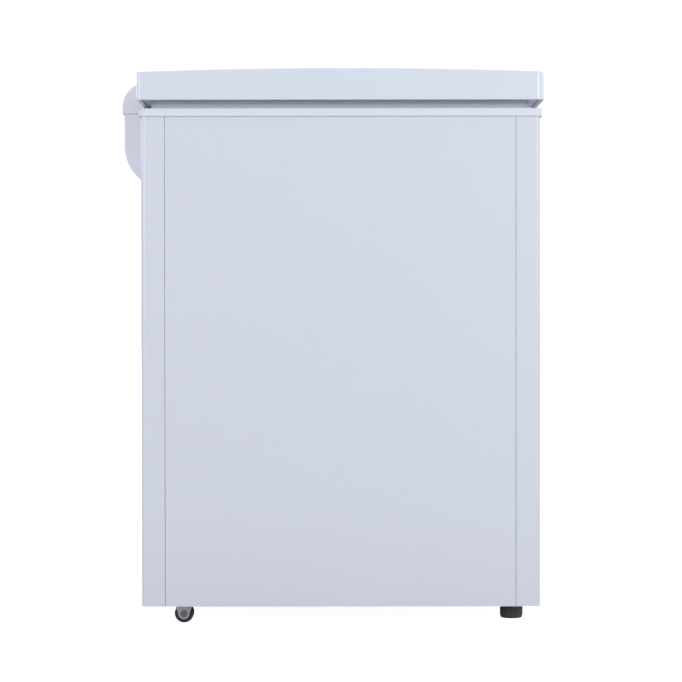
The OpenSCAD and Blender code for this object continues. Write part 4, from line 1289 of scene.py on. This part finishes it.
class FREEZER_OT_rollers(bpy.types.Operator):
    """Builds the two rear rollers, their brackets and axles"""
    bl_idname = "freezer.rollers"
    bl_label = "Rollers"

    def execute(self, context):
        for name in ("left_wheel", "right_wheel"):
            low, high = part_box(name)
            centre = (low + high) / 2
            r, half = (high.z - low.z) / 2, (high.x - low.x) / 2
            bore, hub, web = 3.55 * MM, 6 * MM, r - 3.5 * MM
            dish = half - 2 * MM
            side = [(bore, half, 0), (hub, half, 0.6 * MM), (hub, dish, 0.6 * MM), (web, dish, 0.8 * MM),
                    (web, half, 0.6 * MM), (r, half, 2.2 * MM)]
            points = side + [(a, -h, f) for a, h, f in side[::-1]]
            profile = filleted(points, 4)
            wheel = turned(name + "_piece", profile + profile[:1], centre, (1, 0, 0), 64)
            fitted(smooth(wheel, 50), name, "roller_black", name)
        softened("roller_brackets", "cabinet", 0.45 * MM, 2)
        softened("roller_axles", "cabinet", 0.4 * MM, 3)
        return {"FINISHED"}


class FREEZER_OT_feet(bpy.types.Operator):
    """Builds the two levelling feet with their ribbed rims and studs"""
    bl_idname = "freezer.feet"
    bl_label = "Feet"

    def execute(self, context):
        for name in ("left_foot", "right_foot"):
            low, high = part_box(name)
            x, y = (low.x + high.x) / 2, (low.y + high.y) / 2
            r = (high.x - low.x) / 2
            pad = 20 * MM
            crest, neck = 4 * MM, pad + 3.4 * MM
            profile = filleted([
                (0, 0, 0), (r - 1.6 * MM, 0, 1.6 * MM), (r - 0.2 * MM, 5 * MM, 0.5 * MM),
                (r - 0.2 * MM, pad - 4 * MM, 0.5 * MM), (r, pad - 3 * MM, 0.4 * MM),
                (r, pad, 0.8 * MM), (8 * MM, pad, 0.6 * MM), (7.2 * MM, neck, 0.6 * MM),
                (crest, neck, 0)], 3, False)
            # the stud's thread, as rings
            z = neck
            while z < high.z - 1.3 * MM:
                profile += [(crest, z + 0.3 * MM), (crest - 0.5 * MM, z + 0.7 * MM),
                            (crest, z + 1.1 * MM)]
                z += 1.25 * MM
            profile += [(crest - 0.6 * MM, high.z), (0, high.z)]

            def ribs(radius, height, turn):
                """Shallow flutes round the pad's side."""
                if radius < r - 1 * MM or not 4 * MM < height < pad - 3.4 * MM:
                    return radius
                return radius - 0.7 * MM * (0.5 + 0.5 * cos(24 * turn)) ** 2

            foot = turned(name + "_piece", profile, (x, y, 0), (0, 0, 1), 192, ribs)
            fitted(smooth(foot, 40), name, "foot_charcoal", name)
        softened("foot_nut_plates", "cabinet", 0.5 * MM, 2)
        return {"FINISHED"}


class FREEZER_OT_controls(bpy.types.Operator):
    """Builds the control bezel with its dial marks, the fluted knob and the lenses"""
    bl_idname = "freezer.controls"
    bl_label = "Controls"

    def execute(self, context):
        knob_low, knob_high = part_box("thermostat_knob")
        x, z = (knob_low.x + knob_high.x) / 2, (knob_low.z + knob_high.z) / 2
        face, r = knob_low.y, (knob_high.x - knob_low.x) / 2
        softened("control_bezel", "cabinet", 0.9 * MM, 3)
        bezel_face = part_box("control_bezel")[0].y
        marks = []
        for k in range(9):
            longer = 0.8 * MM if k % 4 == 0 else 0
            mark = block("mark", (-0.4 * MM, bezel_face - 0.12 * MM, 18.6 * MM),
                         (0.4 * MM, bezel_face + 0.3 * MM, 20.8 * MM + longer))
            turn = Matrix.Rotation(radians(-120 + 30 * k), 4, "Y")
            mark.data.transform(Matrix.Translation((x, 0, z)) @ turn)
            marks.append(mark)
        fitted(joined("dial_marks", *marks), "cabinet", "black_plastic")
        deep, skirt, shaft = knob_high.y - face, 10.6 * MM, 3 * MM
        profile = filleted([
            (0, 0, 0), (r - 2.4 * MM, 0, 1.2 * MM), (r, 1.6 * MM, 1.0 * MM), (r, skirt, 0.5 * MM),
            (shaft, skirt, 0), (shaft, deep, 0.5 * MM), (0, deep, 0)], 4, False)

        def flutes(radius, height, turn):
            """Grips round the knob's side."""
            if radius < r - 2 * MM:
                return radius
            return radius - 0.55 * MM * (0.5 + 0.5 * cos(30 * turn))

        knob = turned("thermostat_knob_piece", profile, (x, face, z), (0, 1, 0), 240, flutes)
        pointer = block("pointer", (x - 0.9 * MM, face - 0.02 * MM, z + 4 * MM),
                        (x + 0.9 * MM, face + 0.6 * MM, z + 12.5 * MM))
        knob = smooth(cut(knob, rounded_edges(pointer, 0.3 * MM, 2)), 40)
        fitted(knob, "thermostat_knob", "knob_plastic", "thermostat_knob")
        softened("indicator_lenses", "cabinet", 0.8 * MM, 4)
        softened("thermostat_body", "cabinet", 1.0 * MM, 2)
        return {"FINISHED"}


class FREEZER_OT_grille(bpy.types.Operator):
    """Builds the side grille: a frame with two columns of slanted slats"""
    bl_idname = "freezer.grille"
    bl_label = "Side grille"

    def execute(self, context):
        low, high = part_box("side_grille")
        x0, x1 = low.x, high.x
        plate = block("plate", (x0, low.y, low.z), (x1, high.y, high.z))
        rows, gap = 11, 14 * MM
        pitch = (high.z - low.z - 2 * gap) / rows
        width = 96 * MM
        columns = (low.y + 64 * MM, low.y + 166 * MM)
        openings = [block("opening", (x0 - THROUGH, y - width / 2, low.z + gap - 1 * MM),
                          (x1 + THROUGH, y + width / 2, high.z - gap - pitch * 0.5 + 1 * MM))
                    for y in columns]
        frame_piece = rounded_edges(cut(plate, *openings), 0.7 * MM, 3)
        # one slat, leaning inwards at its foot
        t, deep, tall = 1.4 * MM, 7 * MM, pitch * 0.62
        outline = [(0, 0), (-deep, -tall), (-deep - t, -tall + 0.4 * MM), (-t, t)]
        half = width / 2 + 1 * MM
        verts = [(x1 - 0.4 * MM + a, y, b) for y in (-half, half) for a, b in outline]
        faces = [(0, 1, 2, 3), (4, 5, 6, 7)]
        faces += [(k, (k + 1) % 4, 4 + (k + 1) % 4, 4 + k) for k in range(4)]
        slat = rounded_edges(new_object("slat", verts, faces), 0.3 * MM, 2)
        centre = (0, sum(columns) / 2, (low.z + high.z) / 2 + pitch * 0.1)
        slats = repeated(slat, "cover_plastic", centre, 2, rows,
                         (0, columns[1] - columns[0], 0), (0, 0, pitch))
        grille = joined("side_grille_piece", frame_piece, slats)
        fitted(grille, "cabinet", "cover_plastic", "side_grille")
        return {"FINISHED"}


class FREEZER_OT_compressor(bpy.types.Operator):
    """Builds the compressor with its feet, bolts, rails and relay cover"""
    bl_idname = "freezer.compressor"
    bl_label = "Compressor"

    def execute(self, context):
        low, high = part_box("compressor_shell")
        centre = ((low.x + high.x) / 2, (low.y + high.y) / 2, low.z)
        r = (high.x - low.x) / 2 - 3 * MM
        h = high.z - low.z
        seam = 77 * MM
        flange, thick = r + 2.6 * MM, 2.6 * MM
        profile = filleted([
            (0, 0, 0), (r - 14 * MM, 0, 14 * MM), (r - 2 * MM, 20 * MM, 12 * MM),
            (r - 0.5 * MM, seam - 4 * MM, 1 * MM), (flange, seam - thick, 1 * MM),
            (flange, seam + thick, 1 * MM), (r, seam + 4 * MM, 1 * MM), (r, h - 40 * MM, 26 * MM),
            (r - 20 * MM, h - 8 * MM, 20 * MM), (0, h, 0)], 8, False)
        shell = turned("compressor_shell_piece", profile, centre, (0, 0, 1), 96)
        fitted(smooth(shell, 40), "cabinet", "black_enamel", "compressor_shell")
        softened("compressor_plate", "cabinet", 0.8 * MM, 2)
        softened("compressor_rails", "cabinet", 0.7 * MM, 2)
        softened("relay_cover", "cabinet", 1.6 * MM, 3)
        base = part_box("compressor_grommets")
        step = base[1] - base[0] - Vector((20 * MM, 20 * MM, 0))
        middle = ((base[0].x + base[1].x) / 2, (base[0].y + base[1].y) / 2, base[0].z)
        profile = filleted([
            (4 * MM, 0, 0.3 * MM), (10 * MM, 0, 1.5 * MM), (10 * MM, 10 * MM, 1.5 * MM),
            (6.5 * MM, 10 * MM, 0.5 * MM), (6.5 * MM, 13 * MM, 0.5 * MM), (9 * MM, 13 * MM, 1 * MM),
            (9 * MM, 17 * MM, 1 * MM), (4 * MM, 17 * MM, 0.3 * MM)], 3)
        up = (0, 0, 1)
        grommet = turned("compressor_grommets_piece", profile + profile[:1], (0, 0, 0), up, 28)
        repeated(smooth(grommet, 50), "black_rubber", middle, 2, 2, (step.x, 0, 0), (0, step.y, 0))
        fitted(grommet, "cabinet", "black_rubber", "compressor_grommets")
        low_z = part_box("compressor_bolts")[0].z - base[0].z
        washer, flat = 6.9 * MM, 6.2 * MM

        def hexagon(radius, height, turn):
            """Six flats on the nut and the head."""
            if radius < 5 * MM:
                return radius
            a = (turn + pi / 6) % (pi / 3) - pi / 6
            return radius * cos(pi / 6) / cos(a) if radius > flat - 1e-6 else radius

        profile = [(0, low_z), (6.2 * MM, low_z), (6.5 * MM, low_z + 0.4 * MM), (6.5 * MM, -2.1 * MM),
                   (4 * MM, -2.0 * MM), (4 * MM, 17 * MM), (6.7 * MM, 17 * MM), (washer, 17.4 * MM),
                   (washer, 22.4 * MM), (6.5 * MM, 23 * MM), (0, 23 * MM)]
        bolt = turned("compressor_bolts_piece", profile, (0, 0, 0), up, 36, hexagon)
        repeated(smooth(bolt, 25), "zinc_plated_steel", middle, 2, 2, (step.x, 0, 0), (0, step.y, 0))
        fitted(bolt, "cabinet", "zinc_plated_steel", "compressor_bolts")
        return {"FINISHED"}


class FREEZER_OT_pipework(bpy.types.Operator):
    """Rounds the pipes, the coils, the drier and the wiring"""
    bl_idname = "freezer.pipework"
    bl_label = "Pipework"

    def execute(self, context):
        for node in ("refrigerant_pipes", "condenser_tube", "evaporator_tube", "wiring_harness"):
            obj = cad_copy(node + "_piece", node)
            rounder = obj.modifiers.new("round", "SUBSURF")
            rounder.levels = rounder.render_levels = 1
            settled(obj)
            fitted(smooth(obj, 60), "cabinet", SLOT_OF[node], node)
        softened("filter_drier", "cabinet", 0.8 * MM, 3)
        softened("base_pan", "cabinet", 0.25 * MM, 1)
        softened("machine_bulkhead", "cabinet", 0.25 * MM, 1)
        return {"FINISHED"}


class FREEZER_OT_drain(bpy.types.Operator):
    """Builds the drain's plug, pipe, outlet and cap, and the cord gland"""
    bl_idname = "freezer.drain"
    bl_label = "Drain and gland"

    def execute(self, context):
        softened("drain_outlet", "cabinet", 0.6 * MM, 3)
        softened("drain_pipe", "cabinet", 0.4 * MM, 2)
        softened("drain_cap", "drain_cap", 0.9 * MM, 3)
        softened("drain_plug", "drain_plug", 1.0 * MM, 3)
        low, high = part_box("cord_gland")
        centre = ((low.x + high.x) / 2, low.y, (low.z + high.z) / 2)
        deep = high.y - low.y
        profile = [(4 * MM, 0.6 * MM), (4.6 * MM, 0), (8.4 * MM, 0), (9 * MM, 0.6 * MM)]
        profile += [(9 * MM, deep - 4 * MM), (13.4 * MM, deep - 4 * MM), (14 * MM, deep - 3.4 * MM),
                    (14 * MM, deep - 1.6 * MM), (12.6 * MM, deep - 0.3 * MM), (9 * MM, deep - 0.2 * MM),
                    (8.4 * MM, deep - 1.2 * MM), (7.4 * MM, deep - 1.2 * MM), (6.8 * MM, deep - 0.1 * MM),
                    (5.6 * MM, deep), (4 * MM, deep - 1.5 * MM), (4 * MM, 0.6 * MM)]
        gland = turned("cord_gland_piece", profile, centre, (0, 1, 0), 48)
        fitted(smooth(gland, 45), "cabinet", "black_rubber", "cord_gland")
        return {"FINISHED"}


class FREEZER_OT_liner(bpy.types.Operator):
    """Rounds the edges of the aluminium liner"""
    bl_idname = "freezer.liner"
    bl_label = "Liner"

    def execute(self, context):
        softened("inner_liner", "cabinet", 0.35 * MM, 1)
        return {"FINISHED"}


class FREEZER_OT_basket(bpy.types.Operator):
    """Builds the wire basket and its two grips"""
    bl_idname = "freezer.basket"
    bl_label = "Basket"

    def ring_wire(self, inset, z, radius):
        """A closed wire round the basket at one height."""
        low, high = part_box("wire_basket")
        r = 35 * MM - inset
        path = loop(low.x + inset, low.y + inset, high.x - inset, high.y - inset, r, r, z, corner=8)
        n, sides = len(path), 8
        verts, faces = [], []
        for i, p in enumerate(path):
            p = Vector(p)
            direction = (Vector(path[(i + 1) % n]) - Vector(path[i - 1])).normalized()
            out = direction.cross(Vector((0, 0, 1)))
            for k in range(sides):
                a = 2 * pi * k / sides
                verts.append(p + out * radius * cos(a) + Vector((0, 0, radius * sin(a))))
        for i in range(n):
            a, b = i * sides, (i + 1) % n * sides
            faces += [(a + k, a + (k + 1) % sides, b + (k + 1) % sides, b + k) for k in range(sides)]
        return smooth(new_object("ring", verts, faces), 60)

    def execute(self, context):
        sizes = settings("basket")
        low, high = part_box("wire_basket")
        wire, rim = sizes.wire, sizes.rim
        size = high - low
        centre = (low + high) / 2
        top = high.z - rim
        inset = rim
        rings = [self.ring_wire(inset, top, rim)]
        inner = inset + rim + wire
        floor = low.z + wire
        for z in (low.z + 62 * MM, low.z + 122 * MM):
            rings.append(self.ring_wire(inner + 2 * wire, z, wire))
        depth = top - floor
        families = []
        straight = 38 * MM
        for wires, span, run, turn, drop in (
                (sizes.cross_wires, size.x - 2 * inner, size.y - 2 * straight, 0.0, 2 * wire),
                (sizes.long_wires, size.y - 2 * inner, size.x - 2 * straight, pi / 2, 0.0)):
            base = bpy.data.objects.new("wires", bpy.data.meshes.new("wires"))
            bpy.context.scene.collection.objects.link(base)
            run_tree(base, wire_tree, {
                "Span": span, "Depth": depth - drop, "Bend radius": 14 * MM, "Wire radius": wire,
                "Wires": wires, "Pitch": run / (wires - 1), "Centre": (centre.x, centre.y, floor + drop),
                "Turn": turn, "Material": finish("basket_wire")})
            families.append(base)
        basket = joined("wire_basket_piece", *rings, *families)
        fitted(basket, "basket", "basket_wire", "wire_basket")
        softened("basket_grips", "basket", 1.3 * MM, 4)
        return {"FINISHED"}


LIGHT_COLOUR = (0.93, 0.955, 1.0)
# name, place, target, width and height, watts
LIGHTS = (
    ("overhead", (-0.3, -0.4, 3.2), (0, 0, 0.4), (3.2, 3.2), 20),
    ("near_corner", (-2.4, -1.8, 1.2), (-0.45, -0.3, 0.55), (0.8, 0.8), 18.5),
    ("far_left", (-4.2, 3.0, 1.4), (-0.4, 0.1, 0.6), (2.0, 1.6), 66),
    ("front", (0.9, -3.6, 2.0), (0, 0, 0.6), (2.4, 1.6), 36),
    ("back", (2.8, 3.0, 1.8), (0, 0, 0.6), (2.6, 1.6), 38),
)


class FREEZER_OT_stage(bpy.types.Operator):
    """Sets up the pale floor, the soft lights, the sky and the camera"""
    bl_idname = "freezer.stage"
    bl_label = "Stage"

    def floor(self, stage):
        """A wide pale floor."""
        size = 30.0
        corners = [(-size, -size, 0), (size, -size, 0), (size, size, 0), (-size, size, 0)]
        obj = new_object("floor", corners, [(0, 1, 2, 3)])
        material = bpy.data.materials.new("pale_floor")
        material.use_nodes = True
        tree = material.node_tree
        tree.nodes.clear()
        add, link = nodes_of(tree)
        path, mix = add("ShaderNodeLightPath"), add("ShaderNodeMixShader")
        output = add("ShaderNodeOutputMaterial")
        # the camera sees a sheet lit from behind; everything else sees plain pale vinyl
        shaders = []
        for colour, glow in ((stage.floor, 0.0), ((0.8, 0.8, 0.8), stage.glow)):
            shader = add("ShaderNodeBsdfPrincipled")
            shader.inputs["Base Color"].default_value = rgba(colour)
            shader.inputs["Roughness"].default_value = 0.9
            shader.inputs["Specular IOR Level"].default_value = 0.0
            shader.inputs["Emission Color"].default_value = (1, 1, 1, 1)
            shader.inputs["Emission Strength"].default_value = glow
            shaders.append(shader)
        link(path.outputs["Is Camera Ray"], mix.inputs["Fac"])
        for place, shader in zip(mix.inputs[1:], shaders):
            link(shader.outputs["BSDF"], place)
        link(mix.outputs["Shader"], output.inputs["Surface"])
        obj.data.materials.append(material)

    def sky(self, stage):
        """Soft light from all round, in front of a plain backdrop."""
        world = bpy.data.worlds.new("studio")
        bpy.context.scene.world = world
        world.use_nodes = True
        tree = world.node_tree
        tree.nodes.clear()
        add, link = nodes_of(tree)
        seen, around_all = add("ShaderNodeBackground"), add("ShaderNodeBackground")
        seen.inputs["Color"].default_value = (1, 1, 1, 1)
        seen.inputs["Strength"].default_value = 1.05
        around_all.inputs["Color"].default_value = rgba(stage.sky)
        # brighter round the horizon than overhead
        place, split = add("ShaderNodeTexCoord"), add("ShaderNodeSeparateXYZ")
        fade = add("ShaderNodeMapRange")
        link(place.outputs["Generated"], split.inputs["Vector"])
        link(split.outputs["Z"], fade.inputs["Value"])
        for name, value in (("From Min", 0.0), ("From Max", 1.0), ("To Min", stage.sky_strength),
                            ("To Max", stage.sky_strength * 0.35)):
            fade.inputs[name].default_value = value
        link(fade.outputs["Result"], around_all.inputs["Strength"])
        path, mix = add("ShaderNodeLightPath"), add("ShaderNodeMixShader")
        output = add("ShaderNodeOutputWorld")
        link(path.outputs["Is Camera Ray"], mix.inputs["Fac"])
        link(around_all.outputs["Background"], mix.inputs[1])
        link(seen.outputs["Background"], mix.inputs[2])
        link(mix.outputs["Shader"], output.inputs["Surface"])

    def light(self, name, place, target, size, power):
        """A soft rectangular light, which the camera doesn't see."""
        data = bpy.data.lights.new(name, "AREA")
        data.shape = "RECTANGLE"
        data.size, data.size_y = size
        data.energy = power
        data.color = LIGHT_COLOUR
        obj = bpy.data.objects.new(name, data)
        obj.location = place
        obj.rotation_mode = "QUATERNION"
        obj.rotation_quaternion = (Vector(target) - Vector(place)).to_track_quat("-Z", "Y")
        obj.visible_camera = False
        bpy.context.scene.collection.objects.link(obj)

    def camera(self, stage):
        """A camera level with the freezer's left side."""
        data = bpy.data.cameras.new("camera")
        data.lens, data.sensor_width = stage.lens, 36.0
        data.clip_start, data.clip_end = 0.05, 100.0
        obj = bpy.data.objects.new("camera", data)
        forward = Vector((cos(stage.pitch), 0, -sin(stage.pitch)))
        right = Vector((0, -1, 0))
        up = right.cross(forward)
        lean = Matrix.Rotation(stage.roll, 3, forward)
        axes = Matrix((lean @ right, lean @ up, lean @ -forward)).transposed().to_4x4()
        place = (-HALF - stage.distance, MIDDLE_Y - 0.4 * MM, stage.eye)
        obj.matrix_world = Matrix.Translation(place) @ axes
        bpy.context.scene.collection.objects.link(obj)
        bpy.context.scene.camera = obj

    def execute(self, context):
        stage = settings("stage")
        self.floor(stage)
        self.sky(stage)
        for light in LIGHTS:
            self.light(*light)
        self.camera(stage)
        bpy.context.scene.view_settings.view_transform = "Standard"
        return {"FINISHED"}


OPERATORS = (
    FREEZER_OT_finishes, FREEZER_OT_panels, FREEZER_OT_collar, FREEZER_OT_liner, FREEZER_OT_lid,
    FREEZER_OT_gasket, FREEZER_OT_hinge_covers, FREEZER_OT_hinges, FREEZER_OT_screws, FREEZER_OT_rollers,
    FREEZER_OT_feet, FREEZER_OT_controls, FREEZER_OT_grille, FREEZER_OT_compressor, FREEZER_OT_pipework,
    FREEZER_OT_drain, FREEZER_OT_basket, FREEZER_OT_stage,
)
GROUP_OF = {"cabinet": CabinetSizes, "lid": LidSizes, "basket": BasketSizes, "stage": StageSettings}


class FREEZER_PT_builder(bpy.types.Panel):
    """Lists the freezer's sizes and its builders"""
    bl_idname = "FREEZER_PT_builder"
    bl_label = "Chest freezer"
    bl_space_type = "VIEW_3D"
    bl_region_type = "UI"
    bl_category = "Freezer"

    def draw(self, context):
        for name, group_class in GROUP_OF.items():
            box = self.layout.box()
            box.label(text=group_class.__doc__)
            for prop in group_class.__annotations__:
                box.prop(settings(name), prop)
        for operator in OPERATORS:
            self.layout.operator(operator.bl_idname)


CLASSES = (*GROUP_OF.values(), *OPERATORS, FREEZER_PT_builder)


def register():
    """Adds the classes and the scene's settings."""
    for cls in CLASSES:
        bpy.utils.register_class(cls)
    for name, group_class in GROUP_OF.items():
        setattr(bpy.types.Scene, "freezer_" + name, PointerProperty(type=group_class))


def unregister():
    """Takes the settings and the classes away again."""
    for name in GROUP_OF:
        delattr(bpy.types.Scene, "freezer_" + name)
    for cls in reversed(CLASSES):
        bpy.utils.unregister_class(cls)


def main():
    """Builds everything in order."""
    register()
    for operator in OPERATORS:
        section, name = operator.bl_idname.split(".")
        result = getattr(getattr(bpy.ops, section), name)()
        if result != {"FINISHED"}:
            raise RuntimeError(operator.bl_label + " didn't finish")


if __name__ == "__main__":
    main()
